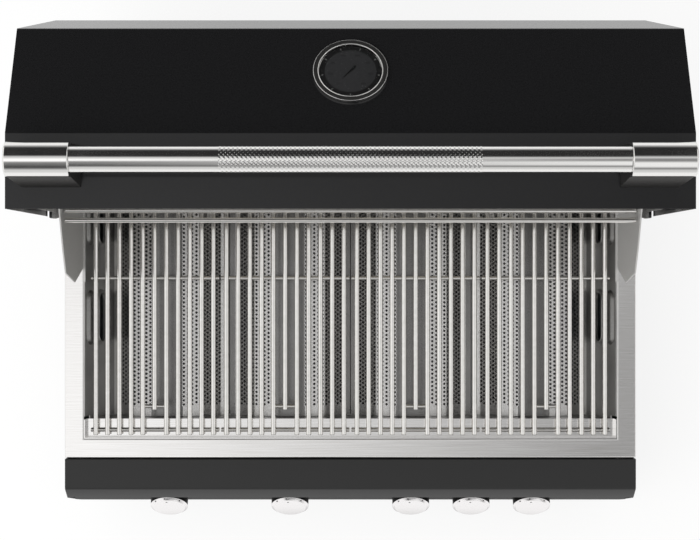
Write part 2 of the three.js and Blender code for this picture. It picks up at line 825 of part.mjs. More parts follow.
function buildHeatPlate(x, number) {
  const steps = [
    [0, -plateTopDrop],
    [plateFlatHalf, -plateTopDrop],
    [plateFlatHalf + plateGentleRun, -plateTopDrop - plateGentleFall],
    [plateFlatHalf + plateGentleRun + plateSteepRun, -plateTopDrop - plateGentleFall - plateSteepFall],
    [plateWidth / 2, -plateTopDrop - plateGentleFall - plateSteepFall - plateLipFall],
  ];
  const left = steps.slice(1).map(([across, up]) => [-across, up]).reverse();
  const outline = bentSheet(left.concat(steps.slice(1)), -sheet);
  const plate = alongY(outline, fireboxFrontY + plateEndGap, fireboxBackY - plateEndGap);
  place(plate.translate([x, 0, 0]), `heat_plate_${number}`, linerSteel);
}

function buildGrate(x, number) {
  const frontEnd = openingFrontY + rodEndGap;
  const backEnd = frontEnd + rodLength;
  const crossZ = -ledgeDrop + seatGap + crossRodDiameter / 2;
  const rodZ = crossZ + crossRodDiameter / 2 + rodDiameter / 2 - seatGap;
  const middleRod = (grateRods - 1) / 2;
  const pieces = [];
  for (let index = 0; index < grateRods; index += 1) {
    const rodX = x + (index - middleRod) * rodPitch;
    const start = index === middleRod ? frontEnd + liftSlotRodCut : frontEnd;
    pieces.push(bar([rodX, start, rodZ], [rodX, backEnd, rodZ], rodDiameter / 2, rodSides));
  }
  const crossYs = [frontEnd + crossRodInset, frontEnd + crossRodMiddle, backEnd - crossRodInset];
  crossYs.forEach((y) => pieces.push(bar(
    [x - crossRodLength / 2, y, crossZ],
    [x + crossRodLength / 2, y, crossZ],
    crossRodDiameter / 2,
    wireSides,
  )));
  const slotY = frontEnd + liftSlotCrossCut;
  pieces.push(bar([x - rodPitch, slotY, crossZ], [x + rodPitch, slotY, crossZ], crossRodDiameter / 2, wireSides));
  place(join(pieces), `cooking_grate_${number}`, polishedSteel);
}

// Side plates, rear housing and warming rack
const sidePlateInner = openingHalf + seatGap;
const sidePlateOuter = sidePlateInner + sidePlateThickness;
const housingBackY = housingFrontY + housingDepth;
const rackHalf = sidePlateInner - rackSideGap;
const rackFrontY = housingFrontY - rackReach;
const rackBackY = rackFrontY + rackPitch * (rackWires - 1);
const rackBraceX = rackHalf - rackBraceInset;
const sidePlateFrontY = housingFrontY - sidePlateReach;
const pegZ = rackHeight - rackWireRadius - seatGap - rackPegRadius;

function buildSidePlate(name, side) {
  const base = seatGap;
  const outline = [
    [sidePlateFrontY + sidePlateHeelRun, base],
    [sidePlateFrontY, sidePlateFrontHeight],
    [sidePlateFrontY + sidePlateShoulderRun, sidePlateShoulderHeight],
    [sidePlateFrontY + sidePlateBrowRun, sidePlateBrowHeight],
    [sidePlateFrontY + sidePlateTopRun, sidePlateHeight],
    [sidePlateFrontY + sidePlateTopEndRun, sidePlateHeight],
    [housingFrontY, housingHeight],
    [housingFrontY + housingTopDepth, housingHeight],
    [housingFrontY + housingShoulderDepth, housingShoulderHeight],
    [housingBackY, housingWaistHeight],
    [housingBackY, base],
  ].reverse();
  const span = (inner, outer) => [side * inner, side * outer].sort((a, b) => a - b);
  const [low, high] = span(sidePlateInner, sidePlateOuter);
  const wall = alongX(outline, low, high);
  const [footLow, footHigh] = span(sidePlateOuter - sidePlateFoot, sidePlateOuter - sidePlateThickness / 2);
  const foot = block([footLow, sidePlateFrontY, base], [footHigh, openingBackY, base + sheet]);
  const pegs = [rackFrontY + rackPitch, rackBackY - rackPitch].map((y) => bar(
    [side * (sidePlateInner + sidePlateThickness / 2), y, pegZ],
    [side * (sidePlateInner - rackPegReach), y, pegZ],
    rackPegRadius,
    tubeSides,
  ));
  const hole = bar([side * sidePlateInner - overrun, hingeY, hingeHeight], [side * sidePlateInner + overrun, hingeY, hingeHeight],
    pinRadius + seatGap, tubeSides);
  place(join([wall, foot, ...pegs]).subtract(hole), name, brushedSteel);
}

function buildRearHousing() {
  const half = sidePlateInner - seatGap;
  const outline = [
    [housingFrontY, seatGap],
    [housingFrontY, housingHeight],
    [housingFrontY + housingTopDepth, housingHeight],
    [housingFrontY + housingShoulderDepth, housingShoulderHeight],
    [housingBackY, housingWaistHeight],
    [housingBackY, seatGap],
  ];
  const wall = bentSheet([...outline].reverse(), sheet);
  const shell = alongX(wall, -half, half);
  const floor = block([-half, housingFrontY, seatGap], [half, housingBackY, seatGap + sheet]);
  const window = block(
    [-rearBurnerWidth / 2 - seatGap, housingFrontY - overrun, rearBurnerBase - seatGap],
    [rearBurnerWidth / 2 + seatGap, housingFrontY + sheet + seatGap, rearBurnerBase + rearBurnerHeight + seatGap],
  );
  const tubeHole = bar([tubeX, tubeBackY, -overrun], [tubeX, tubeBackY, overrun], tubeRadius + sheet, tubeSides);
  place(join([shell, floor]).subtract(window).subtract(tubeHole), 'rear_housing', brushedSteel);
}

function buildRearBurner() {
  const top = rearBurnerBase + rearBurnerHeight;
  const half = rearBurnerWidth / 2;
  const box = block([-half, housingFrontY - seatGap - sheet, rearBurnerBase], [half, rearBurnerBackY, top]);
  const flange = block(
    [-half - rearBurnerFlange, housingFrontY - seatGap - sheet, rearBurnerBase - rearBurnerFlange],
    [half + rearBurnerFlange, housingFrontY - seatGap, top + rearBurnerFlange],
  );
  place(join([box, flange]), 'rear_infrared_burner', ceramicTile);
}

function buildWarmingRack() {
  const wire = (from, to) => bar(from, to, rackWireRadius, wireSides);
  const pieces = [];
  for (let index = 0; index < rackWires; index += 1) {
    const y = rackFrontY + index * rackPitch;
    pieces.push(wire([-rackHalf, y, rackHeight], [rackHalf, y, rackHeight]));
  }
  [-rackBraceX, rackBraceX].forEach((x) => pieces.push(wire(
    [x, rackFrontY, rackHeight - rackWireRadius],
    [x, rackBackY, rackHeight - rackWireRadius],
  )));
  place(join(pieces), 'warming_rack', polishedSteel);
}

// Hood: its own group turns about the hinge, and its solids are drawn closed
const hood = new THREE.Group();
hood.position.set(0, hingeY, hingeHeight);
hood.rotation.x = -deg(hoodOpenAngle);
grill.add(hood);
const hoodFrontY = frontY + hoodSetback;

function hoodLine() {
  const foot = [hoodFrontY, hoodGap];
  const bend = [foot[0], foot[1] + hoodLowerHeight];
  const brow = [bend[0] + hoodSlantLength * cos(hoodSlantAngle), bend[1] + hoodSlantLength * sin(hoodSlantAngle)];
  const crownY = backY - hoodTailInset - hoodRearLength * cos(hoodRearFall);
  const hoodTopLength = (crownY - brow[0]) / cos(hoodTopRise);
  const crown = [brow[0] + hoodTopLength * cos(hoodTopRise), brow[1] + hoodTopLength * sin(hoodTopRise)];
  const tail = [crown[0] + hoodRearLength * cos(hoodRearFall), crown[1] - hoodRearLength * sin(hoodRearFall)];
  return [foot, bend, brow, crown, tail];
}

// Adds a solid that is drawn closed, in the grill's own places
function placeOnHood(solid, name, material) {
  const mesh = place(solid, name, material, hood);
  mesh.position.set(0, -hingeY, -hingeHeight);
  return mesh;
}

function buildHoodShell() {
  const line = hoodLine();
  const tail = line[line.length - 1];
  const skin = roundedLine(line, hoodBend, 3);
  const shell = alongX(bentSheet(skin, -sheet), -halfWidth, halfWidth);
  const cutBackY = tail[0] - hoodCutBackInset;
  const sideOutline = skin.concat([
    [tail[0], hoodCutHeight + hoodCutBackRise],
    [cutBackY, hoodCutHeight],
    [hoodCutY, hoodCutHeight],
    [hoodCutY, hoodGap],
  ]).reverse();
  const sides = [-halfWidth, halfWidth - sheet].map((x) => alongX(sideOutline, x, x + sheet));
  const [bendPoint] = line.slice(1);
  const probeY = bendPoint[0] + gaugeAlong * cos(hoodSlantAngle);
  const probeZ = bendPoint[1] + gaugeAlong * sin(hoodSlantAngle);
  const outward = [-sin(hoodSlantAngle), cos(hoodSlantAngle)];
  const hole = bar(
    [0, probeY + outward[0] * overrun, probeZ + outward[1] * overrun],
    [0, probeY - outward[0] * overrun, probeZ - outward[1] * overrun],
    probeRadius + seatGap,
    tubeSides,
  );
  placeOnHood(join([shell, ...sides]).subtract(hole), 'hood_shell', blackEnamel);
}

function buildHoodLiner() {
  const line = hoodLine();
  const [foot, bend, brow, crown] = offsetLine(line, -linerGap);
  const run = (linerRearY - brow[0]) / (crown[0] - brow[0]);
  const rear = [linerRearY, brow[1] + (crown[1] - brow[1]) * run];
  const start = [foot[0], foot[1] + linerHemRise];
  const skin = [start, bend, brow, rear];
  const half = halfWidth - linerGap;
  const hem = [line[0][0] + sheet + seatGap, start[1]];
  const shell = alongX(bentSheet([hem, ...skin], -linerSheet), -half, half);
  const sideOutline = skin.concat([[linerRearY, hoodCutHeight + hoodCutBackRise], [hoodCutY, start[1]]]).reverse();
  const sides = [-half, half - linerSheet].map((x) => alongX(sideOutline, x, x + linerSheet));
  const along = gaugeAlong / hoodSlantLength;
  const centre = [bend[0] + (brow[0] - bend[0]) * along, bend[1] + (brow[1] - bend[1]) * along];
  const outward = [-sin(hoodSlantAngle), cos(hoodSlantAngle)];
  const reach = overrun + linerGap;
  const hole = bar(
    [0, centre[0] + outward[0] * reach, centre[1] + outward[1] * reach],
    [0, centre[0] - outward[0] * reach, centre[1] - outward[1] * reach],
    probeHex + linerGap / 2,
    tubeSides,
  );
  placeOnHood(join([shell, ...sides]).subtract(hole), 'hood_liner', linerSteel);
}

const armOuter = halfWidth - sheet - seatGap;
const armInner = armOuter - armThickness;

function buildHingeArm(name, side) {
  const low = armGap;
  const armFrontY = hingeY - armFrontReach;
  const armBackY = hingeY + armBackReach;
  const outline = roundedLine([
    [armFrontY + armHeight / 2, low],
    [armFrontY, low],
    [armFrontY, armHeight],
    [armBackY, armHeight + hoodCutBackRise],
    [armBackY, hoodCutHeight + hoodCutBackRise / 2],
    [hingeY + (armBackY - hingeY) / 2, low + armCorner * 2],
    [hingeY, low + armCorner],
  ], armCorner, 3);
  const [from, to] = [side * armInner, side * armOuter].sort((a, b) => a - b);
  const hole = bar([from - overrun, hingeY, hingeHeight], [to + overrun, hingeY, hingeHeight], pinRadius + seatGap, tubeSides);
  placeOnHood(alongX(outline.reverse(), from, to).subtract(hole), name, blackEnamel);
}

function buildHingePin(name, side) {
  const step = (inner, outer, radius) => bar(
    [side * inner, hingeY, hingeHeight],
    [side * outer, hingeY, hingeHeight],
    radius,
    tubeSides,
  );
  const head = step(sidePlateInner - seatGap - pinHead, sidePlateInner - seatGap, pinHeadRadius);
  const shank = step(sidePlateInner - seatGap - pinHead / 2, armOuter, pinRadius);
  const collar = step(sidePlateOuter + seatGap, armInner - seatGap, pinCollarRadius);
  place(join([head, shank, collar]), name, polishedSteel);
}

function buildHandle() {
  const bracketOuter = halfWidth - bracketEndInset;
  const bracketInner = bracketOuter - bracketLength;
  const handleKnurlHalf = bracketInner - handlePlainRun;
  const y = hoodFrontY - handleStandOff;
  const z = hoodGap + handleHeight;
  const half = bracketOuter - bracketEndWall - seatGap;
  const plain = bar([-half, y, z], [half, y, z], handleRadius - knurlRelief, barSides);
  const grip = bar([-handleKnurlHalf, y, z], [handleKnurlHalf, y, z], handleRadius, barSides);
  placeOnHood(join([plain, grip]), 'handle_bar', polishedSteel);
  for (const [name, side] of [['handle_bracket_left', -1], ['handle_bracket_right', 1]]) {
    const sleeve = bar([side * bracketInner, y, z], [side * bracketOuter, y, z], bracketRadius, barSides);
    const bore = bar([side * (bracketInner - overrun), y, z], [side * (bracketOuter - bracketEndWall), y, z],
      handleRadius + seatGap, barSides);
    const section = (inner, outer, atY, low, high) => [inner, outer].flatMap((x) => (
      [low, high].map((up) => [side * x, atY, up])
    ));
    const leg = wasm.Manifold.hull([
      ...section(bracketInner, bracketOuter, y, z - bracketLegHalf, z + bracketLegHalf),
      ...section(bracketInner - bracketFootInnerRun, bracketOuter - bracketFootOuterRun, hoodFrontY - seatGap,
        z - bracketFootDrop, z + bracketFootRise),
    ]);
    placeOnHood(join([sleeve, leg]).subtract(bore), name, polishedSteel);
  }
}

// Thermometer: a group whose local Z points straight out of the slanted panel
const gauge = new THREE.Group();
const slantFoot = hoodLine()[1];
gauge.position.set(
  0,
  slantFoot[0] + gaugeAlong * cos(hoodSlantAngle) - hingeY,
  slantFoot[1] + gaugeAlong * sin(hoodSlantAngle) - hingeHeight,
);
gauge.rotation.x = deg(hoodSlantAngle);
hood.add(gauge);
const dialBase = seatGap + gaugeSeat;
const dialTop = dialBase + seatGap + dialThickness;

function buildThermometer() {
  const bezel = turned([
    [0, seatGap],
    [gaugeRadius, seatGap],
    [gaugeRadius, gaugeHeight - gaugeRim],
    [gaugeRadius - gaugeRim, gaugeHeight],
    [gaugeInnerRadius + gaugeRim, gaugeHeight],
    [gaugeInnerRadius, gaugeHeight - gaugeRim],
    [gaugeInnerRadius, dialBase],
    [0, dialBase],
  ], gaugeSides);
  const shaftHole = bar([0, 0, 0], [0, 0, gaugeHeight], spindleRadius + seatGap, rodSides);
  place(bezel.subtract(shaftHole), 'thermometer_case', polishedSteel, gauge);
  const dial = bar([0, 0, dialBase + seatGap], [0, 0, dialTop], dialRadius, gaugeSides).subtract(shaftHole);
  place(dial, 'thermometer_dial', dialFace, gauge);
  const glassBase = gaugeHeight - gaugeRim - glassThickness;
  const glass = bar([0, 0, glassBase], [0, 0, glassBase + glassThickness], gaugeInnerRadius - seatGap, gaugeSides);
  place(glass, 'thermometer_glass', clearGlass, gauge);
  const needleBase = dialTop + needleRise - needleThickness;
  const tip = polar(needleLength, needleAngle);
  const tail = polar(needleTail, needleAngle + 180);
  const heel = polar(needleTail - needleEnd, needleAngle + 180);
  const wide = polar(needleWidth / 2, needleAngle + 90);
  const outline = [tip, [heel[0] + wide[0], heel[1] + wide[1]], [tail[0] + wide[0] / 2, tail[1] + wide[1] / 2],
    [tail[0] - wide[0] / 2, tail[1] - wide[1] / 2], [heel[0] - wide[0], heel[1] - wide[1]]];
  const blade = new THREE.ExtrudeGeometry(outlineShape(outline), { depth: needleThickness, bevelEnabled: false });
  blade.translate(0, 0, needleBase);
  const spindle = bar([0, 0, seatGap * 2], [0, 0, needleBase + needleThickness / 2], spindleRadius, rodSides);
  place(join([toSolid(blade), spindle]), 'thermometer_needle', blackPlastic, gauge);
  const probe = bar([0, 0, -probeLength], [0, 0, 0], probeRadius, tubeSides);
  const nutTop = -sheet - seatGap;
  const nut = bar([0, 0, nutTop - probeHexLength], [0, 0, nutTop], probeHex, wireSides);
  place(join([probe, nut]), 'thermometer_probe', polishedSteel, gauge);
}

// Drip tray on its runners
const trayZ = floorZ + runnerRise;

function buildDripTray() {
  const trayFrontY = casingFrontY - seatGap;
  const trayBackY = casingBackY - trayBackInset;
  const outer = block([-trayHalfWidth, trayFrontY, trayZ], [trayHalfWidth, trayBackY, trayZ + trayHeight]);
  const hollow = (inset, low, high) => block(
    [-trayHalfWidth + inset, trayFrontY + trayWall, low],
    [trayHalfWidth - inset, trayBackY - trayWall, high],
  );
  const underLips = hollow(trayWall, trayZ + trayWall, trayZ + trayHeight - trayWall);
  const mouth = hollow(traySideLip, trayZ + trayHeight / 2, trayZ + trayHeight + overrun);
  place(outer.subtract(underLips).subtract(mouth), 'drip_tray', linerSteel);
  const frontTop = fasciaZ - trayFrontGap - sheet;
  const faceY = trayFrontY - seatGap - trayFrontCover;
  const backFaceY = trayFrontY - seatGap;
  const outline = bentSheet([
    [backFaceY, trayZ - baseRim / 2],
    [faceY, trayZ - baseRim / 2],
    [faceY, frontTop],
    [faceY - trayFrontLip, frontTop],
    [faceY - trayFrontLip, frontTop - trayFrontLip / 2],
  ], -sheet);
  const face = alongX(outline, -trayFrontHalfWidth, trayFrontHalfWidth);
  const studs = [-1, 1].map((side) => block(
    [side * trayHalfWidth / 2 - trayFrontLip, faceY + sheet / 2, trayZ + sheet],
    [side * trayHalfWidth / 2 + trayFrontLip, backFaceY, trayZ + trayHeight - sheet],
  ));
  place(join([face, ...studs]), 'drip_tray_front', brushedSteel);
}

function buildRunner(name, side) {
  const wallX = casingHalf - sheet - seatGap;
  const top = trayZ - seatGap;
  const shelfX = trayHalfWidth - runnerUnderlap;
  const outline = [
    [shelfX, top - sheet],
    [wallX, top - sheet],
    [wallX, top + runnerHeight],
    [wallX - sheet, top + runnerHeight],
    [wallX - sheet, top],
    [shelfX, top],
  ].map(([across, up]) => [side * across, up]);
  if (side < 0) outline.reverse();
  const inset = sheet + seatGap;
  place(alongY(outline, casingFrontY + inset, casingBackY - inset), name, galvanised);
}

buildTopFrame();
buildLedge('front_grate_ledge', openingFrontY, 1);
buildLedge('rear_grate_ledge', openingBackY, -1);
buildFirebox();
buildCasing();
buildBasePan();
buildControlPanel();
buildManifold();
buildRearGasTube();
buildIgnitionBox();
knobXs.forEach((x, index) => {
  buildKnobSet(x, index + 1);
  const outletY = casingFrontY + sheet + orificeReach;
  buildValve(x, index + 1, outletY);
});
plateXs.forEach((x, index) => {
  buildBurner(x, index + 1);
  buildHeatPlate(x, index + 1);
  buildGrate((x / platePitch) * gratePitch, index + 1);
});
buildSidePlate('side_plate_left', -1);
buildSidePlate('side_plate_right', 1);
buildRearHousing();
buildRearBurner();
buildWarmingRack();
buildHoodShell();
buildHoodLiner();
buildHingeArm('hinge_arm_left', -1);
buildHingeArm('hinge_arm_right', 1);
buildHingePin('hinge_pin_left', -1);
buildHingePin('hinge_pin_right', 1);
buildHandle();
buildThermometer();
buildDripTray();
buildRunner('tray_runner_left', -1);
buildRunner('tray_runner_right', 1);

export default grill;
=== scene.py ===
# Looks for the built-in gas grill: studio, finishes, and the smooth pieces that stand for the plain solids.
import math

import bmesh
import bpy
import numpy as np
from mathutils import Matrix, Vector


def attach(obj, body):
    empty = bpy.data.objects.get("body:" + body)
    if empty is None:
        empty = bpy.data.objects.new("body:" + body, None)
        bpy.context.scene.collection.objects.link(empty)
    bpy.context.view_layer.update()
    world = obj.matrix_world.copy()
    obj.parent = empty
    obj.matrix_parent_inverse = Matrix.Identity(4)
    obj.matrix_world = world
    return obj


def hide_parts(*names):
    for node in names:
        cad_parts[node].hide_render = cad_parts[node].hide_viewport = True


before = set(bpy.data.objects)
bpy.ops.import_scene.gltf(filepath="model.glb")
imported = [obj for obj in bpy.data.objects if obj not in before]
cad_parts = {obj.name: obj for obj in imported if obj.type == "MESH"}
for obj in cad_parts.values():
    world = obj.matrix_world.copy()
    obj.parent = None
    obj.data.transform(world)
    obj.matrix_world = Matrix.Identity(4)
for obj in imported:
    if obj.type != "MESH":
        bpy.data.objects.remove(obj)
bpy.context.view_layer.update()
mm = 0.001


def linearHex(code):
    # sRGB hex to linear: c/12.92 under 0.04045, else ((c + 0.055)/1.055)^2.4
    parts = [int(code[i:i + 2], 16) / 255 for i in (1, 3, 5)]
    return tuple(c / 12.92 if c <= 0.04045 else ((c + 0.055) / 1.055) ** 2.4 for c in parts) + (1.0,)


def addNode(tree, kind, inputs=None, **settings):
    # one node: its settings by name, its inputs linked when given a socket and set when given a value
    node = tree.nodes.new(kind)
    for name, value in settings.items():
        setattr(node, name, value)
    for key, value in (inputs or {}).items():
        if isinstance(value, bpy.types.NodeSocket):
            tree.links.new(value, node.inputs[key])
        else:
            node.inputs[key].default_value = value
    return node


def compute(tree, operation, *values):
    # one Math node and its result
    return addNode(tree, "ShaderNodeMath", dict(enumerate(values)), operation=operation).outputs[0]


def spread(tree, value, low, high, toLow=0.0, toHigh=1.0, kind="LINEAR"):
    # one Map Range node and its result
    ends = {"Value": value, "From Min": low, "From Max": high, "To Min": toLow, "To Max": toHigh}
    return addNode(tree, "ShaderNodeMapRange", ends, interpolation_type=kind).outputs[0]


def blend(tree, share, first, second):
    # one colour mix and its result
    return addNode(tree, "ShaderNodeMixRGB", {0: share, 1: first, 2: second}).outputs[0]


def grey(level):
    return (level, level, level, 1.0)


def colourRamp(tree, value, stops):
    # one Color Ramp node and its result; stops are (place, tone) pairs, and a tone is a grey or a linear colour
    node = addNode(tree, "ShaderNodeValToRGB", {0: value})
    stopList = node.color_ramp.elements
    stopList.remove(stopList[-1])
    for index, (place, tone) in enumerate(stops):
        stop = stopList.new(place) if index else stopList[0]
        stop.position, stop.color = place, tone if isinstance(tone, tuple) else grey(tone)
    return node.outputs[0]


def startFinish(name, code, **values):
    # a material with one Principled shader, whose plain colour and values are set on its own sockets
    finish = bpy.data.materials.new(name)
    finish.use_nodes = True
    tree = finish.node_tree
    shader = tree.nodes["Principled BSDF"]
    shader.inputs["Base Color"].default_value = linearHex(code)
    for key, value in values.items():
        shader.inputs[socketNames[key]].default_value = value
    place = addNode(tree, "ShaderNodeTexCoord").outputs["Object"]
    return finish, tree, shader, place


socketNames = {"metallic": "Metallic", "roughness": "Roughness", "ior": "IOR", "specular": "Specular IOR Level",
               "transmission": "Transmission Weight", "alpha": "Alpha"}


studio = {
    "cameraPlace": (-0.00064, 0.0, 3.131), "lens": 92.57, "sensor": 36.0, "clipEnd": 50.0,
    "skyLevel": 0.86, "skyTilt": 0.55, "lampPower": 26.0, "lampSize": 2.2, "lampPlace": (-1.1, -0.9, 3.4),
    "lampAim": (0, 0, 0.3), "floorSize": 9.0, "floorColour": "#efefee", "floorGlow": 0.75, "floorLevel": 1.06,
    # metal sees the floor dim within dimNear of this place and full beyond dimFar: a painted soft shadow round the
    # grill, in the floor's glow
    "dimPlace": (0, 0.3, 0), "dimNear": 0.75, "dimFar": 1.0, "floorInMetal": 0.53, "farInMetal": 1.03,
    # white side panels seen in metal; the left one reaches down to the horizon, the right one stops well above it
    "leftPanel": 1.0, "rightPanel": 0.94, "panelFrom": 0.21, "panelFull": 0.29, "leftPanelFoot": -0.05,
    "rightPanelFoot": 0.25, "panelFade": 0.15, "sideBlend": 0.16,
    # grey of the studio seen in polished metal, by angle from straight up (minus is the front), left and right
    "leftBand": [(-180, .80), (-138, .91), (-121, .82), (-79, .72), (-71, .43), (-63, .14), (-55, .061), (-27, .235),
                 (-20.6, .445), (-14, 1.2), (-1, 1.2), (3.5, .86), (5.5, .72), (11.9, .74), (18.4, .24),
                 (25, .023), (75, .023), (82.8, .098), (91.6, .40), (101, .60), (111, .76), (159, .95), (180, .85)],
    "rightBand": [(-180, .80), (-138, .92), (-79, .67), (-71, .342), (-63, .275), (-55, .80), (-48, .97), (-27, .97),
                  (-20.6, .62), (-14, .27), (-7.7, .26), (-1, .28), (3.5, .5), (5.5, .72), (11.9, .57), (18.4, .144),
                  (25, .023), (75, .023), (82.8, .098), (91.6, .39), (101, .55), (159, .82), (180, .80)],
}


def addObject(name, data):
    holder = bpy.data.objects.new(name, data)
    bpy.context.scene.collection.objects.link(holder)
    return holder


def buildWorld():
    # plain soft light for matt surfaces; metal sees a studio of light and dark panels round the grill
    world = bpy.data.worlds.new("softStudio")
    bpy.context.scene.world = world
    world.use_nodes = True
    tree = world.node_tree
    tree.nodes.clear()
    q = studio
    direction = addNode(tree, "ShaderNodeTexCoord").outputs["Generated"]
    x, y, z = addNode(tree, "ShaderNodeSeparateXYZ", {0: direction}).outputs
    turn = spread(tree, compute(tree, "ARCTAN2", y, z), -math.pi, math.pi)
    bands = [colourRamp(tree, turn, [((a + 180) / 360, v) for a, v in q[key]]) for key in ("leftBand", "rightBand")]
    across = spread(tree, x, -q["sideBlend"], q["sideBlend"])
    mirrored = blend(tree, across, *bands)
    # side panels of light, out to the left and right, each above its own foot
    sideOn = spread(tree, compute(tree, "ABSOLUTE", x), q["panelFrom"], q["panelFull"], kind="SMOOTHSTEP")
    clear = compute(tree, "SUBTRACT", z, spread(tree, across, 0.0, 1.0, q["leftPanelFoot"], q["rightPanelFoot"]))
    panelOn = compute(tree, "MULTIPLY", sideOn, spread(tree, clear, 0.0, q["panelFade"], kind="SMOOTHSTEP"))
    panels = blend(tree, across, grey(q["leftPanel"]), grey(q["rightPanel"]))
    mirrored = blend(tree, panelOn, mirrored, panels)
    # matt surfaces get soft light, stronger from the left than from the right
    soft = spread(tree, x, -1.0, 1.0, q["skyLevel"] + q["skyTilt"], q["skyLevel"] - q["skyTilt"])
    rays = addNode(tree, "ShaderNodeLightPath").outputs
    plain = blend(tree, rays["Is Glossy Ray"], soft, mirrored)
    direct = compute(tree, "MAXIMUM", rays["Is Camera Ray"], rays["Is Transmission Ray"])
    light = addNode(tree, "ShaderNodeBackground", {"Color": blend(tree, direct, plain, grey(1)), "Strength": 1.0})
    addNode(tree, "ShaderNodeOutputWorld", {"Surface": light.outputs[0]})


def buildFloor():
    # matt white floor; part of it glows for the camera and for metal, so it stays near white and keeps the shadow
    finish = bpy.data.materials.new("paleMattFloor")
    finish.use_nodes = True
    tree = finish.node_tree
    tree.nodes.clear()
    q = studio
    rays = addNode(tree, "ShaderNodeLightPath").outputs
    seen = compute(tree, "MAXIMUM", rays["Is Camera Ray"], rays["Is Glossy Ray"])
    seen = compute(tree, "MAXIMUM", seen, rays["Is Transmission Ray"])
    share = compute(tree, "MULTIPLY", seen, q["floorGlow"])
    matt = addNode(tree, "ShaderNodeBsdfDiffuse", {"Color": linearHex(q["floorColour"])})
    # metal and enamel see the floor dim behind and beside the grill, as a painted soft shadow, and white in front and
    # farther out
    place = addNode(tree, "ShaderNodeTexCoord").outputs["Object"]
    away = addNode(tree, "ShaderNodeVectorMath", {0: place, 1: q["dimPlace"]}, operation="DISTANCE").outputs["Value"]
    far = spread(tree, away, q["dimNear"], q["dimFar"], q["floorInMetal"], q["farInMetal"])
    level = blend(tree, rays["Is Glossy Ray"], grey(q["floorLevel"]), far)
    glow = addNode(tree, "ShaderNodeEmission", {"Color": grey(1), "Strength": level})
    both = addNode(tree, "ShaderNodeMixShader", {0: share, 1: matt.outputs[0], 2: glow.outputs[0]})
    addNode(tree, "ShaderNodeOutputMaterial", {"Surface": both.outputs[0]})
    half = q["floorSize"] / 2
    mesh = bpy.data.meshes.new("floor")
    mesh.from_pydata([(-half, -half, 0), (half, -half, 0), (half, half, 0), (-half, half, 0)], [], [(0, 1, 2, 3)])
    mesh.materials.append(finish)
    floor = addObject("floor", mesh)


def buildLampAndCamera():
    # one large soft lamp up to the left that metal doesn't mirror, and the photograph's camera straight above
    lamp = bpy.data.lights.new("softLamp", "AREA")
    lamp.shape, lamp.size, lamp.energy = "SQUARE", studio["lampSize"], studio["lampPower"]
    lampObject = addObject("softLamp", lamp)
    lampObject.location = studio["lampPlace"]
    aim = Vector(studio["lampAim"]) - Vector(studio["lampPlace"])
    lampObject.rotation_euler = aim.to_track_quat("-Z", "Y").to_euler()
    lampObject.visible_glossy = False
    camera = bpy.data.cameras.new("camera")
    camera.lens, camera.sensor_width, camera.clip_end = studio["lens"], studio["sensor"], studio["clipEnd"]
    cameraObject = addObject("camera", camera)
    cameraObject.location = studio["cameraPlace"]
    bpy.context.scene.camera = cameraObject


bpy.context.scene.view_settings.view_transform = "Standard"
buildWorld()
buildFloor()
buildLampAndCamera()
print("studio ready")


def applyPattern(tree, shader, value, tones=None, rough=None, relief=None, span=(0.3, 0.7)):
    # a pattern's value gives two tones over its span, a range of roughness and a relief 0.2 mm deep, if asked for
    if tones:
        tone = colourRamp(tree, value, [(place, linearHex(code)) for place, code in zip(span, tones)])
        tree.links.new(tone, shader.inputs["Base Color"])
    if rough:
        tree.links.new(spread(tree, value, 0.0, 1.0, *rough), shader.inputs["Roughness"])
    if relief:
        bump = addNode(tree, "ShaderNodeBump", {"Height": value, "Strength": relief, "Distance": 0.2 * mm})
        tree.links.new(bump.outputs[0], shader.inputs["Normal"])


def grainFinish(name, code, grain, tones=None, rough=None, relief=None, stretch=(1, 1, 1), fuzz=0.5, **values):
    # a finish whose one pattern is a noise; grain is its (scale, detail), stretch its further scale along X, Y and Z
    finish, tree, shader, place = startFinish(name, code, **values)
    if stretch != (1, 1, 1):
        place = addNode(tree, "ShaderNodeMapping", {"Vector": place, "Scale": stretch}).outputs[0]
    noise = addNode(tree, "ShaderNodeTexNoise", {"Vector": place, "Scale": grain[0], "Detail": grain[1],
                                                 "Roughness": fuzz})
    applyPattern(tree, shader, noise.outputs["Fac"], tones, rough, relief)
    return finish


def millStainless():
    # rolled stainless left as it came from the mill: soft grey, cloudy, with faint roll lines
    finish, tree, shader, place = startFinish("millFinishStainless", "#c2c1bf", metallic=1.0, roughness=0.36)
    clouds = addNode(tree, "ShaderNodeTexNoise", {"Vector": place, "Scale": 14.0, "Detail": 4.0})
    applyPattern(tree, shader, clouds.outputs["Fac"], ("#b3b2b0", "#cbcac8"))
    rolled = addNode(tree, "ShaderNodeMapping", {"Vector": place, "Scale": (700, 9, 700)})
    lines = addNode(tree, "ShaderNodeTexNoise", {"Vector": rolled.outputs[0], "Scale": 1.0, "Detail": 3.0})
    applyPattern(tree, shader, lines.outputs["Fac"], relief=0.08)
    return finish


def galvanisedSteel():
    # zinc dipped sheet: dull blue grey with leaf-like crystals (spangle) 8 mm across
    finish, tree, shader, place = startFinish("galvanisedSheet", "#9da1a3", metallic=1.0, roughness=0.45)
    leaves = addNode(tree, "ShaderNodeTexVoronoi", {"Vector": place, "Scale": 120.0})
    shade = addNode(tree, "ShaderNodeRGBToBW", {0: leaves.outputs["Color"]})
    applyPattern(tree, shader, shade.outputs[0], ("#8d9193", "#aeb2b4"), (0.35, 0.55), span=(0.0, 1.0))
    return finish


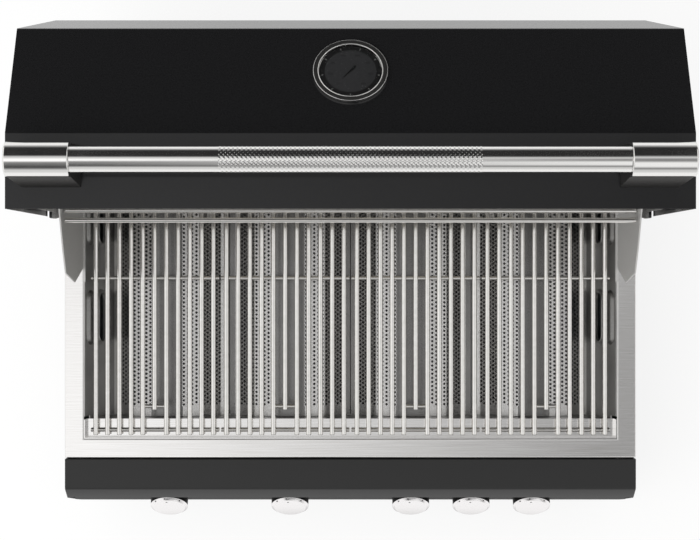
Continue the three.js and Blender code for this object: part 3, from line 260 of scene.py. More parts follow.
def burnerTile():
    # porous ceramic burner tile: cream, with rows of tiny flame ports 3 mm apart, drawn as darker dots of painted
    # shade in the holes
    finish, tree, shader, place = startFinish("porousCeramicTile", "#ddd2bf", roughness=0.85)
    ports = addNode(tree, "ShaderNodeTexVoronoi", {"Vector": place, "Scale": 330.0, "Randomness": 0.0})
    applyPattern(tree, shader, ports.outputs["Distance"], ("#6f675b", "#ddd2bf"), span=(0.2, 0.32))
    return finish


def perforatedPlateSteel():
    # pressed stainless plate: the first fold beside the top is painted pale, a painted highlight of the side light it
    # would catch; the top and the steep sides keep the darker plain tone
    finish, tree, shader, place = startFinish("pressedPlateStainless", "#8c8b8a", metallic=1.0, roughness=0.27)
    clouds = addNode(tree, "ShaderNodeTexNoise", {"Vector": place, "Scale": 18.0, "Detail": 4.0})
    tone = colourRamp(tree, clouds.outputs["Fac"], [(0.3, linearHex("#848382")), (0.7, linearHex("#908f8e"))])
    lie = addNode(tree, "ShaderNodeSeparateXYZ", {0: addNode(tree, "ShaderNodeTexCoord").outputs["Normal"]})
    # a mask by the upward part of the normal: the first fold gets the painted highlight
    paintedHighlightMask = colourRamp(tree, lie.outputs["Z"], [(0.0, 0.4), (0.86, 0.4), (0.92, 1.0), (0.965, 1.0), (0.975, 0.0)])
    tree.links.new(blend(tree, paintedHighlightMask, tone, linearHex("#e6e5e4")), shader.inputs["Base Color"])
    return finish


mill, galvanised, tile, plateSteel = millStainless(), galvanisedSteel(), burnerTile(), perforatedPlateSteel()
# stainless sheet brushed with a belt along X: fine streaks, so reflections smear across the streaks; real streaks are
# 0.1 mm apart, drawn 1.4 mm apart so that they show
brushed = grainFinish("brushedStainlessSheet", "#ecebea", (1, 4), ("#e4e2e0", "#f3f2f1"), (0.12, 0.2), 0.12,
                      stretch=(9, 700, 700), fuzz=0.6, metallic=1.0, roughness=0.2)
# turned and buffed stainless: near mirror, with faint wipe haze
polished = grainFinish("polishedStainless", "#eeedeb", (60, 3), rough=(0.05, 0.12), metallic=1.0, roughness=0.08)
# bar buffed along its length: a softer mirror than the brackets
buffed = grainFinish("buffedBarStainless", "#eeedeb", (60, 3), rough=(0.08, 0.15), metallic=1.0, roughness=0.16)
# bead-blasted stainless: fine pits that scatter the light, so it takes a soft grey from the brighter side; the real
# pits are 0.1 mm apart, drawn 1 mm apart so that they show
blasted = grainFinish("beadBlastedStainless", "#c9c8c6", (900, 2), ("#c2c1bf", "#d0cfcd"), relief=0.1, metallic=0.4,
                      roughness=0.45, specular=0.3)
# steel painted darker than the polished and rolled steel round it, and satin so it blurs what it reflects; the darker
# tone is painted shade on the pressed pads, the cast legs of the handle, the punched rims of the holes and the tray
# under the plates
padShadeSteel, legShadeSteel, holeRimShadeSteel, trayShadeSteel = [
    grainFinish(name, pale, (300, 3), (dark, pale), metallic=1.0, roughness=0.5) for name, dark, pale in (
        ("padPaintedShadeStainless", "#91908e", "#9d9c9a"), ("legPaintedShadeSteel", "#5c5b5a", "#676665"),
        ("holeRimPaintedShade", "#3c3b3a", "#474645"), ("trayPaintedShadeSteel", "#6b6a69", "#767574"))]
# bright drawn stainless rod, electropolished: warm white mirror with sharp dark edges
rodSteel = grainFinish("electropolishedRod", "#e6e4e0", (120, 3), ("#e2e0dc", "#eae8e5"), (0.06, 0.12), metallic=1.0,
                       roughness=0.08)
# glossy black vitreous enamel fired on steel: deep colour under a smooth glassy skin
enamel = grainFinish("glossBlackEnamel", "#1b1b1c", (400, 2), ("#19191a", "#1c1c1d"), relief=0.02, roughness=0.12,
                     ior=1.4)
# dark satin powder coat: fine orange peel that spreads reflections
paint = grainFinish("satinDarkPowderCoat", "#2e2e2e", (700, 2), ("#2c2c2c", "#313131"), relief=0.05, roughness=0.33,
                    ior=1.5, specular=0.21)
# black phenolic moulding: spark-eroded grain, low sheen
plastic = grainFinish("mouldedBlackPhenolic", "#171717", (900, 2), ("#141414", "#1b1b1b"), relief=0.1, roughness=0.4,
                      ior=1.5)
# brass turned from bar: warm yellow, mottled by the tool
brass = grainFinish("machinedBrass", "#c9a75a", (500, 2), ("#b99646", "#d2b168"), metallic=1.0, roughness=0.25)
# spun stainless disc on the knob's face: pale and satin, a little uneven
knobSteel = grainFinish("spunKnobFace", "#f6f4f4", (200, 2), rough=(0.16, 0.26), metallic=1.0, roughness=0.2)
# matt dark enamel on the gauge dial, slightly uneven
dial = grainFinish("mattDialEnamel", "#282829", (400, 2), ("#262627", "#2b2b2c"), roughness=0.6, specular=0.1)
# grey ink printed on the dial, a little uneven
dialPrint = grainFinish("greyDialInk", "#7b7b7a", (900, 1), ("#707070", "#868685"), roughness=0.6, specular=0.1)
# black ink of the dial's outer ring, its numbers and the knob marks: denser than the ground, with a faint grain
blackInk = grainFinish("blackPrintInk", "#121212", (900, 1), ("#101010", "#151515"), roughness=0.6, specular=0.1)
# matt black paint on the stamped needle
needleFinish = grainFinish("mattBlackNeedlePaint", "#0c0c0c", (900, 1), rough=(0.5, 0.7), roughness=0.6, specular=0.1)
# thin clear cover glass over the dial: it lets the light straight through, with a faint sheen on its face
glass = grainFinish("clearFloatGlass", "#fcfdfd", (80, 2), rough=(0.01, 0.04), roughness=0.02, ior=1.3,
                    transmission=1.0, alpha=0.12)

# each finish and how the names of its nodes start; the first match counts
nodesOf = [(brushed, ("top_frame", "front_grate_ledge", "rear_grate_ledge")),
           # the drip tray takes a darker steel: painted shade under the plates
           (paint, ("control_panel", "drip_tray_front")), (trayShadeSteel, ("drip_tray",)),
           (mill, ("firebox_liner", "rear_housing", "hood_liner", "burner_", "heat_plate_")),
           (galvanised, ("outer_casing", "base_pan", "rear_burner_gas_tube", "tray_runner_")),
           (brass, ("gas_manifold", "gas_valve_")), (plastic, ("ignition_box", "knob_", "thermometer_needle")),
           (blasted, ("side_plate_",)), (tile, ("rear_infrared_burner",)),
           (enamel, ("hood_shell", "hinge_arm_", "hinge_pin_")), (rodSteel, ("cooking_grate_",)),
           (dial, ("thermometer_dial",)), (glass, ("thermometer_glass",)),
           (polished, ("handle_", "thermometer_case", "thermometer_probe", "warming_rack", "valve_stem_"))]
for name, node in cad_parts.items():
    node.data.materials.clear()
    node.data.materials.append(next(finish for finish, starts in nodesOf if name.startswith(starts)))
print("finishes ready")


def gridFaces(rows, columns, wrapRows=False, wrapColumns=False):
    # quad (i, j) joins points (i, j), (i+1, j), (i+1, j+1) and (i, j+1); a wrapped side goes back to 0
    i, j = np.meshgrid(np.arange(rows - (not wrapRows)), np.arange(columns - (not wrapColumns)), indexing="ij")
    iNext, jNext = (i + 1) % rows, (j + 1) % columns
    return np.stack([i * columns + j, iNext * columns + j, iNext * columns + jNext, i * columns + jNext],
                    -1).reshape(-1, 4)


def makePiece(name, shells, finishes, body, stands=(), sharp=38, recalc=True):
    # shells are (points, [faces of one corner count, ...], finish number); all go into one mesh in millimetres
    points, corners, sizes, finishIds, offset = [], [], [], [], 0
    for shellPoints, faceSets, finishId in shells:
        points.append(shellPoints.reshape(-1, 3))
        for faces in faceSets:
            faces = np.asarray(faces)
            corners.append(faces.ravel() + offset)
            sizes.append(np.full(len(faces), faces.shape[1]))
            finishIds.append(np.full(len(faces), finishId))
        offset += len(points[-1])
    points, corners, sizes = np.concatenate(points) * mm, np.concatenate(corners), np.concatenate(sizes)
    mesh = bpy.data.meshes.new(name)
    mesh.vertices.add(len(points))
    mesh.vertices.foreach_set("co", points.ravel())
    mesh.loops.add(len(corners))
    mesh.loops.foreach_set("vertex_index", corners.astype(np.int32))
    mesh.polygons.add(len(sizes))
    mesh.polygons.foreach_set("loop_start", np.concatenate([[0], np.cumsum(sizes)[:-1]]).astype(np.int32))
    mesh.polygons.foreach_set("material_index", np.concatenate(finishIds).astype(np.int32))
    mesh.update(calc_edges=True)
    work = bmesh.new()
    work.from_mesh(mesh)
    touching = 0.002 * mm
    bmesh.ops.remove_doubles(work, verts=work.verts, dist=touching)
    bmesh.ops.dissolve_degenerate(work, edges=work.edges, dist=touching)
    if recalc:
        bmesh.ops.recalc_face_normals(work, faces=work.faces)
    work.to_mesh(mesh)
    work.free()
    mesh.polygons.foreach_set("use_smooth", np.ones(len(mesh.polygons), bool))
    mesh.set_sharp_from_angle(angle=math.radians(sharp))
    for finish in finishes:
        mesh.materials.append(finish)
    piece = addObject(name, mesh)
    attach(piece, body)
    if stands:
        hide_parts(*stands)
    return piece


def roundProfile(points, radius, steps=6):
    # a polyline whose inner corners become arcs: p(t) = c + r (cos, sin) between the two tangent points
    points = np.asarray(points, float)
    radii = np.broadcast_to(radius, (len(points),))
    result = [points[:1]]
    for before, corner, after, r in zip(points[:-2], points[1:-1], points[2:], radii[1:-1]):
        back, ahead = (before - corner), (after - corner)
        back, ahead = back / np.linalg.norm(back), ahead / np.linalg.norm(ahead)
        half = math.acos(np.clip(back @ ahead, -1, 1)) / 2
        reach = r / math.tan(half)
        middle = (back + ahead) / np.linalg.norm(back + ahead)
        centre = corner + middle * r / math.sin(half)
        start, end = corner + back * reach - centre, corner + ahead * reach - centre
        sweep = math.pi - 2 * half
        t = np.linspace(0, 1, steps + 1)[:, None]
        result.append(centre + (np.sin((1 - t) * sweep) * start + np.sin(t * sweep) * end) / math.sin(sweep))
    result.append(points[-1:])
    return np.concatenate(result)


def arc(x, y, radius, angles):
    # points of a circle's arc: (x, y) + r (cos, sin)
    return np.stack([x + radius * np.cos(angles), y + radius * np.sin(angles)], 1)


def offsetProfile(points, distance):
    # each point moves to its left by distance along the mitred normal
    runs = np.diff(points, axis=0)
    normals = np.stack([-runs[:, 1], runs[:, 0]], 1) / np.linalg.norm(runs, axis=1)[:, None]
    before, after = np.concatenate([normals[:1], normals]), np.concatenate([normals, normals[-1:]])
    return points + (before + after) * distance / (1 + (before * after).sum(1))[:, None]


def revolve(profile, sides, finishId, place):
    # profile of (radius, height) turned about z: (r cos a, r sin a, h), then put in place
    profile = np.asarray(profile, float)
    a = np.linspace(0, 2 * np.pi, sides, endpoint=False)
    points = np.stack([profile[:, :1] * np.cos(a), profile[:, :1] * np.sin(a),
                       np.broadcast_to(profile[:, 1:], (len(profile), sides))], -1)
    return place(points), [gridFaces(len(profile), sides, wrapColumns=True)], finishId


def tilted(points, angle, place):
    # turned about X and moved: (x, y cos - z sin, y sin + z cos) + place
    c, s = math.cos(angle), math.sin(angle)
    x, y, z = points[..., 0], points[..., 1], points[..., 2]
    return np.stack([x, y * c - z * s, y * s + z * c], -1) + place


def sweepAcross(outline, xs):
    # a closed (y, z) outline carried along X, with its two ends closed by one face each
    outline, xs = np.asarray(outline, float), np.asarray(xs, float)
    count = len(outline)
    points = np.stack([np.repeat(xs, count), np.tile(outline[:, 0], len(xs)), np.tile(outline[:, 1], len(xs))], -1)
    ends = np.stack([np.arange(count)[::-1], np.arange(count) + (len(xs) - 1) * count])
    return points, [gridFaces(len(xs), count, wrapColumns=True), ends], 0


def roundedBlock(low, high, radius, steps=4):
    # a box with rounded edges: core corner (by quadrant) + radius times the direction (lon, lat)
    low, high = np.asarray(low, float), np.asarray(high, float)
    quarter = np.linspace(0, np.pi / 2, steps + 1)
    lon = np.concatenate([quarter + k * np.pi / 2 for k in range(4)])
    lat = np.concatenate([quarter - np.pi / 2, quarter])[:, None]
    core = (high - low) / 2 - radius
    x, y = np.repeat([1, -1, -1, 1], steps + 1) * core[0], np.repeat([1, 1, -1, -1], steps + 1) * core[1]
    z = np.repeat([-1, 1], steps + 1)[:, None] * core[2] + 0 * lon
    points = np.stack([x + radius * np.cos(lat) * np.cos(lon), y + radius * np.cos(lat) * np.sin(lon),
                       z + radius * np.sin(lat)], -1) + (low + high) / 2
    rows, columns = points.shape[:2]
    corner = np.arange(4) * (steps + 1)
    caps = np.stack([corner[::-1], corner + (rows - 1) * columns])
    return points, [gridFaces(rows, columns, wrapColumns=True), caps], 0


def rodAlong(start, end, radius, sides=20, edge=0.8):
    # a level round rod: (r(s) cos a, r(s) sin a) about its axis, with the rim of each end eased by edge; a ring close
    # behind each rim keeps the long run evenly shaded
    start, end = np.asarray(start, float), np.asarray(end, float)
    length = np.linalg.norm(end - start)
    axis = (end - start) / length
    side = np.cross(axis, (0, 0, 1))
    other = np.cross(axis, side)
    t = np.linspace(0, np.pi / 2, 4)
    s = np.concatenate([[0], edge * (1 - np.cos(t)), [1.5 * edge, length - 1.5 * edge],
                        length - edge * (1 - np.cos(t[::-1])), [length]])
    r = np.concatenate([[0], radius - edge * (1 - np.sin(t)), [radius, radius],
                        radius - edge * (1 - np.sin(t[::-1])), [0]])
    a = np.linspace(0, 2 * np.pi, sides, endpoint=False)
    ring = np.cos(a)[:, None] * side + np.sin(a)[:, None] * other
    points = start + s[:, None, None] * axis + r[:, None, None] * ring
    return points, [gridFaces(len(s), sides, wrapColumns=True)], 0


def spaced(count, pitch):
    # places a pitch apart, centred on 0
    return (np.arange(count) - (count - 1) / 2) * pitch


grates = {"count": 4, "pitch": 209.6, "rods": 11, "rodPitch": 18.87, "rodRadius": 4.0, "rodSpan": (-264.7, 197.7),
          "rodHeight": 240.4, "crossRadius": 3.2, "crossHeight": 233.5, "crossReach": 103.25,
          "crossPlaces": (-257.1, -12.9, 190.1), "crossSides": 14, "liftCut": 40.6, "liftCross": -219.1}


def buildGrates():
    # eleven rods along Y welded on cross rods along X; the middle rod stops short to leave a lifting slot
    g = grates
    front, back = g["rodSpan"]
    crossRods = [(y, g["crossReach"]) for y in g["crossPlaces"]] + [(g["liftCross"], g["rodPitch"])]
    for number, centre in enumerate(spaced(g["count"], g["pitch"]), 1):
        shells = [rodAlong((centre + x, front + (0 if x else g["liftCut"]), g["rodHeight"]),
                           (centre + x, back, g["rodHeight"]), g["rodRadius"])
                  for x in spaced(g["rods"], g["rodPitch"])]
        shells += [rodAlong((centre - reach, y, g["crossHeight"]), (centre + reach, y, g["crossHeight"]),
                            g["crossRadius"], sides=g["crossSides"]) for y, reach in crossRods]
        makePiece(f"grateRods{number}", shells, [rodSteel], f"grate_{number}", stands=[f"cooking_grate_{number}"])


rack = {"wireRadius": 3.9, "height": 453.0, "front": 74.0, "pitch": 14.4, "wires": 8, "half": 425.1, "brace": 210.0}


def buildRack():
    # straight wires along X, held together by two braces underneath
    r = rack
    under = r["height"] - r["wireRadius"]
    ys = r["front"] + r["pitch"] * np.arange(r["wires"])
    shells = [rodAlong((-r["half"], y, r["height"]), (r["half"], y, r["height"]), r["wireRadius"]) for y in ys]
    shells += [rodAlong((x, ys[0], under), (x, ys[-1], under), r["wireRadius"]) for x in (-r["brace"], r["brace"])]
    makePiece("rackWires", shells, [rodSteel], "rack", stands=["warming_rack"])


frameSheet = {"outer": (457.0, -300.0, 300.0), "inner": (427.0, -270.5, 203.5), "top": 250.0, "lip": 24.0,
              "innerLip": 14.0, "sheet": 1.5, "outerBend": 1.2, "innerBend": 1.8, "besideBend": 1.0,
              # the edge turned inwards under each long side
              "returnWidth": 12.0, "returnInset": 0.1, "returnEnd": 5.0, "returnEdge": 0.4}


def buildTopFrame():
    # rows of rectangles follow the folded edge: (outset from the outer or inner rectangle, depth under the top)
    f = frameSheet
    t = np.linspace(0, np.pi / 2, 6)
    r, q, wall, run = f["outerBend"], f["innerBend"], f["sheet"], f["besideBend"]
    outer = np.concatenate([[(0, f["lip"]), (0, r + run)], arc(-r, r, r, -t), [(-r - run, 0)]])
    inner = np.concatenate([[(q + run, 0)], arc(q, q, q, -np.pi / 2 - t),
                            [(0, q + run), (0, f["innerLip"]), (wall, f["innerLip"]), (wall, wall)]])
    under = np.array([(-wall, wall), (-wall, f["lip"])])
    loops = []
    for (half, front, back), rows in ((f["outer"], outer), (f["inner"], inner), (f["outer"], under)):
        outset, depth = rows[:, :1], rows[:, 1:]
        ys = np.hstack([front - outset, front - outset, back + outset, back + outset])
        loops.append(np.stack(np.broadcast_arrays((half + outset) * (-1, 1, 1, -1), ys, f["top"] - depth), -1))
    points = np.concatenate(loops)
    half, front, back = f["outer"]
    low = f["top"] - f["lip"]
    shells = [(points, [gridFaces(len(points), 4, wrapRows=True, wrapColumns=True)], 0)]
    for side in (-1, 1):
        a, b = sorted((side * (half - f["returnInset"]), side * (half - f["returnWidth"])))
        shells.append(roundedBlock((a, front + f["returnEnd"], low), (b, back - f["returnEnd"], low + wall),
                                   f["returnEdge"]))
    makePiece("topFrameSheet", shells, [brushed], "grill_body", stands=["top_frame"])


buildTopFrame()
buildGrates()
buildRack()
print("grates and rack ready")


plates = {"count": 4, "pitch": 199.6, "span": (-238.9, 171.9), "sheet": 1.5, "holePitch": 6.67, "holeRadius": 2.1,
          "holeRows": 57, "holeStart": -223.0,
          # half of the fold line as (x, z); the numbers of hole columns in its second and third flat
          "knots": [(0, 190.0), (23.5, 190.0), (57.0, 179.2), (85.0, 156.9), (98.9, 154.4)], "columns": {2: 5, 3: 6}}


def plateSurface(p):
    # s runs across the plate, y along it; x(s), z(s) follow the folded knots. A hole's cell is two by two grid quads:
    # its eight outer points are grid points, its inner ones lie at centre + r (cos a slope + sin a y)
    knots = np.array(p["knots"])
    half, starts = [knots[0]], {}
    for index in range(1, len(knots)):
        pieces = 2 * p["columns"].get(index, 1)
        if index in p["columns"]:
            starts[index] = len(half) - 1
        share = np.linspace(0, 1, pieces + 1)[1:, None]
        half += list(knots[index - 1] + share * (knots[index] - knots[index - 1]))
    half = np.array(half)
    line = np.concatenate([half[::-1] * (-1, 1), half[1:]])
    middle = len(half) - 1
    step = p["holePitch"] / 2
    holesY = p["holeStart"] + step * np.arange(2 * p["holeRows"] + 2)
    ys = np.concatenate([[p["span"][0]], holesY, [p["span"][1]]])
    grid = np.stack(np.broadcast_arrays(line[:, None, 0], ys[None, :], line[:, None, 1]), -1)
    across, along = grid.shape[:2]
    cells = []
    for index, count in p["columns"].items():
        for column in range(count):
            for side in (1, -1):
                centre = middle + side * (starts[index] + 2 * column + 1)
                rows = 2 + (column % 2) + 2 * np.arange(p["holeRows"])
                cells.append(np.stack([np.full(len(rows), centre), rows], 1))
    cells = np.concatenate(cells)
    around = np.array([(1, 0), (1, 1), (0, 1), (-1, 1), (-1, 0), (-1, -1), (0, -1), (1, -1)])
    outer = (cells[:, None, 0] + around[:, 0]) * along + cells[:, None, 1] + around[:, 1]
    centre = grid[cells[:, 0], cells[:, 1]]
    slope = grid[cells[:, 0] + 1, cells[:, 1]] - grid[cells[:, 0] - 1, cells[:, 1]]
    slope = slope / np.linalg.norm(slope, axis=1)[:, None]
    a = np.arange(8)[:, None] * np.pi / 4
    inner = centre[:, None] + p["holeRadius"] * (np.cos(a) * slope[:, None] + np.sin(a) * (0, 1, 0))
    innerIds = across * along + np.arange(len(cells) * 8).reshape(-1, 8)
    ring = np.stack([outer, np.roll(outer, -1, 1), np.roll(innerIds, -1, 1), innerIds], -1).reshape(-1, 4)
    covered = np.zeros((across - 1, along - 1), bool)
    for di in (-1, 0):
        for dj in (-1, 0):
            covered[cells[:, 0] + di, cells[:, 1] + dj] = True
    plain = gridFaces(across, along)[~covered.ravel()]
    return np.concatenate([grid.reshape(-1, 3), inner.reshape(-1, 3)]), [plain, ring]


def buildPlates():
    # the folded, perforated sheet is worked out once as a surface and then given its wall downwards
    points, faceSets = plateSurface(plates)
    for number, x in enumerate(spaced(plates["count"], plates["pitch"]), 1):
        shell = (points + (x, 0, 0), [faces[:, ::-1] for faces in faceSets], 0)
        piece = makePiece(f"perforatedPlate{number}", [shell], [plateSteel, holeRimShadeSteel], f"plate_{number}",
                          stands=[f"heat_plate_{number}"], recalc=False)
        mesh = piece.data
        used = np.zeros(len(mesh.loops), int)
        mesh.loops.foreach_get("edge_index", used)
        sharpEdge = mesh.attributes.get("sharp_edge") or mesh.attributes.new("sharp_edge", "BOOLEAN", "EDGE")
        isSharp = np.zeros(len(mesh.edges), bool)
        sharpEdge.data.foreach_get("value", isSharp)
        # the rims of the holes stay crisp: an edge with one face is sharp
        sharpEdge.data.foreach_set("value", isSharp | (np.bincount(used, minlength=len(mesh.edges)) == 1))
        wall = piece.modifiers.new("wall", "SOLIDIFY")
        wall.thickness, wall.offset, wall.use_even_offset = plates["sheet"] * mm, -1, True
        # the rim faces inside the holes take the darker steel: painted shade in the holes
        wall.material_offset_rim = 1


buildPlates()
print("heat plates ready")


trims = {"wallTop": (425.2, 248.2), "wallFoot": (398.5, 150.0), "around": 48, "rows": (-76.5, 84.5),
         "pillLevel": 24.0, "ventLevel": 67.0, "length": 79.0, "height": 22.0,
         # profiles of (distance out from the slot's edge, height off the wall)
         "pill": [(5.0, -0.2), (4.2, 0.5), (3.0, 2.0), (1.9, 4.2), (0.8, 5.3), (-0.6, 5.6), (-4.0, 5.6), (-6.0, 5.3),
                  (-11.0, 5.2), (-11.0, -0.2)],
         "vent": [(6.2, -0.2), (5.8, 0.8), (5.2, 1.1), (3.9, 1.1), (3.5, 1.4), (3.3, 2.1), (2.8, 2.4), (1.2, 2.4),
                  (0.5, 2.1), (0.2, 1.4), (0.2, -1.0)]}


def slotTrim(profile, rowY, level, side, finishId):
    # a stadium outline pushed out by d and lifted by h: centre + straight ends + (r + d)(cos a, sin a) + h normal;
    # level is the depth of its middle under the frame's top
    q = trims
    profile = np.array(profile)
    top, foot = np.array(q["wallTop"]), np.array(q["wallFoot"])
    down = (foot - top) / np.linalg.norm(foot - top)
    centre = top + down * (frameSheet["top"] - level - top[1]) / down[1]
    a = (np.arange(q["around"]) + 0.5) * 2 * np.pi / q["around"]
    radius = np.maximum(q["height"] / 2 + profile[:, :1], 0)
    along = np.sign(np.cos(a)) * (q["length"] - q["height"]) / 2 + radius * np.cos(a)
    slope = radius * np.sin(a)
    x = centre[0] + slope * down[0] + profile[:, 1:] * down[1]
    z = centre[1] + slope * down[1] - profile[:, 1:] * down[0]
    points = np.stack([side * x, rowY + along, z], -1)
    return points, [gridFaces(len(profile), len(a), wrapRows=True, wrapColumns=True)], finishId


def buildTrims():
    # a smooth pressed pad and a flanged vent slot, twice on each sloping wall
    shells = []
    for side in (-1, 1):
        for rowY in trims["rows"]:
            # the pressed pads take the darker steel: painted shade on the pads
            shells.append(slotTrim(trims["pill"], rowY, trims["pillLevel"], side, 1))
            shells.append(slotTrim(trims["vent"], rowY, trims["ventLevel"], side, 0))
    makePiece("fireboxPads", shells, [mill, padShadeSteel], "grill_body")


buildTrims()
print("firebox pads ready")


handle = {"axis": (143.0, 805.9), "radius": 17.65, "relief": 0.45, "plainDrop": 0.3, "half": 441.2, "knurlHalf": 169.0,
          "knurlPitch": 5.7, "starts": 20, "perPitch": 6, "around": 120, "barEdge": 1.0, "guard": 1.5, "runOut": 0.4,
          # brackets: sleeve with its rims and bore, then the leg; a foot leans in by footOuter and footInner
          "bracketRadius": 22.85, "bracketSpan": (362.6, 446.5), "bore": 17.95, "edge": 2.2, "rimGuard": 0.6,
          "boreEnd": 5.0, "legHalf": 21.9, "footDrop": 33.7, "footRise": 22.0, "footInner": 6.3, "footOuter": 10.8,
          "footLevel": 751.2, "bracketSides": 96}


def handlePoints(x, angle, radius):
    y, z = handle["axis"]
    return np.stack(np.broadcast_arrays(x, y + radius * np.cos(angle), z + radius * np.sin(angle)), -1)


def wave(t):
    # a triangle wave: 0 at whole numbers, 1 half way between them
    return 1 - np.abs(2 * (t % 1) - 1)


def buildBar():
    # plain ends, and a grip of small pyramids: radius = R - relief * (1 - min(wave(x/p + n a), wave(x/p - n a)))
    h = handle
    cells = round(2 * h["knurlHalf"] / h["knurlPitch"])
    xs = np.linspace(-h["knurlHalf"], h["knurlHalf"], cells * h["perPitch"] + 1)
    a = np.linspace(0, 2 * np.pi, h["around"], endpoint=False)
    turns, pitches = h["starts"] * a / (2 * np.pi), xs[:, None] / h["knurlPitch"]
    knurl = h["radius"] - h["relief"] * (1 - np.minimum(wave(pitches + turns), wave(pitches - turns)))
    plain = h["radius"] - h["plainDrop"]
    # close rings beside each change of radius keep the long plain run evenly shaded
    ends = np.array([-h["half"], -h["half"], -h["half"] + h["barEdge"], -h["half"] + h["guard"],
                     -h["knurlHalf"] - h["guard"], -h["knurlHalf"] - h["runOut"]])
    endRadii = np.repeat(np.array([0, plain - h["barEdge"], plain, plain, plain, plain])[:, None], h["around"], 1)
    allX = np.concatenate([ends, xs, -ends[::-1]])
    points = handlePoints(allX[:, None], a[None, :], np.concatenate([endRadii, knurl, endRadii[::-1]]))
    makePiece("handleBar", [(points, [gridFaces(len(allX), h["around"], wrapColumns=True)], 0)], [buffed], "hood",
              stands=["handle_bar"], sharp=60)


def legReach(angle):
    # distance from the handle's axis to the leg's outline: the least of d / cos(angle - normal) over its three sides
    h = handle
    drop = h["axis"][1] - h["footLevel"]
    sides = [((-drop, h["footDrop"] - h["legHalf"]), (-h["legHalf"], 0)), ((0, -1), (0, -drop)),
             ((drop, h["footRise"] - h["legHalf"]), (h["legHalf"], 0))]
    reach = np.full_like(angle, np.inf)
    for normal, point in sides:
        normal = np.array(normal) / np.linalg.norm(normal)
        facing = np.cos(angle) * normal[0] + np.sin(angle) * normal[1]
        reach = np.minimum(reach, np.where(facing > 0, (normal @ point) / np.maximum(facing, 1e-6), np.inf))
    return np.where(np.sin(angle) < 0, reach, 0)


def buildBrackets():
    # a sleeve with eased rims, closed at its outer end, that flares into a leg down to the hood:
    # radius(a) = max(sleeve, leg), and the leg's two ends lean inwards with the depth below the axis
    h = handle
    inner, outer = h["bracketSpan"]
    drop = h["axis"][1] - h["footLevel"]
    corners = [math.atan2(-drop, -h["footDrop"]), math.atan2(-drop, h["footRise"])]
    a = np.unique(np.concatenate([np.linspace(-np.pi, np.pi, h["bracketSides"], endpoint=False), corners]))
    full = np.maximum(h["bracketRadius"], legReach(a))
    # the inner rim is eased half as much as the outer one
    e, small = h["edge"], h["edge"] / 2
    t = np.linspace(0, np.pi / 2, 6)
    # rows: 0 the end's middle, 1 to 7 the outer rim, 8 to 14 the inner rim, then the bore
    ends = np.concatenate([np.full(8, outer), np.full(7, inner), [inner], np.full(2, outer - h["boreEnd"])])
    steps = np.concatenate([[0], e * (np.cos(t) - 1), [-e - h["rimGuard"], small + h["rimGuard"]],
                            small * (1 - np.sin(t)), [0, 0, 0]])
    radii = np.concatenate([[full * 0], full - e * (1 - np.sin(t))[:, None], [full, full],
                            full - small * (1 - np.cos(t))[:, None], [full * 0 + h["bore"]] * 2, [full * 0]])
    depth = np.clip(-radii * np.sin(a) / drop, 0, 1)
    lean = np.repeat([h["footOuter"], h["footInner"], 0], [8, 7, 3])[:, None]
    faces = gridFaces(len(ends), len(a), wrapColumns=True)
    # faces that stand out from the sleeve belong to the cast leg, painted darker than the sleeve as painted shade
    onLeg = (full[faces[:, 0] % len(a)] + full[faces[:, 3] % len(a)]) / 2 > h["bracketRadius"] + 0.05
    for name, side in (("Left", -1), ("Right", 1)):
        points = handlePoints(side * ((ends + steps)[:, None] - lean * depth), a[None, :], radii)
        makePiece(f"handleBracket{name}", [(points, [faces[~onLeg]], 0), (points, [faces[onLeg]], 1)],
                  [polished, legShadeSteel], "hood", stands=[f"handle_bracket_{name.lower()}"])


buildBar()
buildBrackets()
print("handle ready")


knobs = {"places": (-296.25, -98.75, 98.75, 197.5, 296.25), "seat": (-363.192, 173.462), "tilt": math.atan2(54, 36),
         "radius": 30.45, "back": 4.0, "length": 26.0, "bevelRun": 4.2, "bevelDrop": 3.0, "edge": 0.9, "bore": 24.0,
         "boreDepth": 8.0, "stemBore": 4.3, "stemDepth": 16.3, "sides": 72,
         # the cap: rings that ease the bend between its face and the bevel, the rounded rim, and the step under it
         "easeRings": [(-0.5, 0), (-0.15, -0.08), (0.15, -0.32)], "rimAbove": 0.15, "rimRound": 0.5, "rimFoot": 0.9,
         "rimStep": 0.3, "capFoot": 1.15, "skirtTop": 1.2, "skirtIn": 0.4,
         # small dark marks on the bevel: angle from the knob's own right, and the pointer dot on the face
         "markAngles": (136, 101, 49), "markSize": (1.5, 0.9), "dotAngle": 98, "dotAt": 19.0, "dotSize": (1.5, 1.2),
         "markProfile": [(0, 0.12), (0.85, 0.12), (1, 0.04), (1, -0.1), (0, -0.1)], "markSides": 20}


def onKnob(points, x):
    # local z is the knob's axis
    return tilted(points, knobs["tilt"], (x, *knobs["seat"]))


def onBevel(points, degrees, lean, size, radius, height):
    # a small round mark laid on a cone about the knob's axis: its local x runs round the knob, its y down the slope
    angle = math.radians(degrees)
    out = np.array((math.cos(angle), math.sin(angle), 0))
    along = np.array((-math.sin(angle), math.cos(angle), 0))
    down = lean[0] * out - np.array((0, 0, lean[1]))
    up = lean[1] * out + np.array((0, 0, lean[0]))
    centre = out * radius + np.array((0, 0, height))
    return centre + points[..., :1] * size[0] * along + points[..., 1:2] * size[1] * down + points[..., 2:] * up


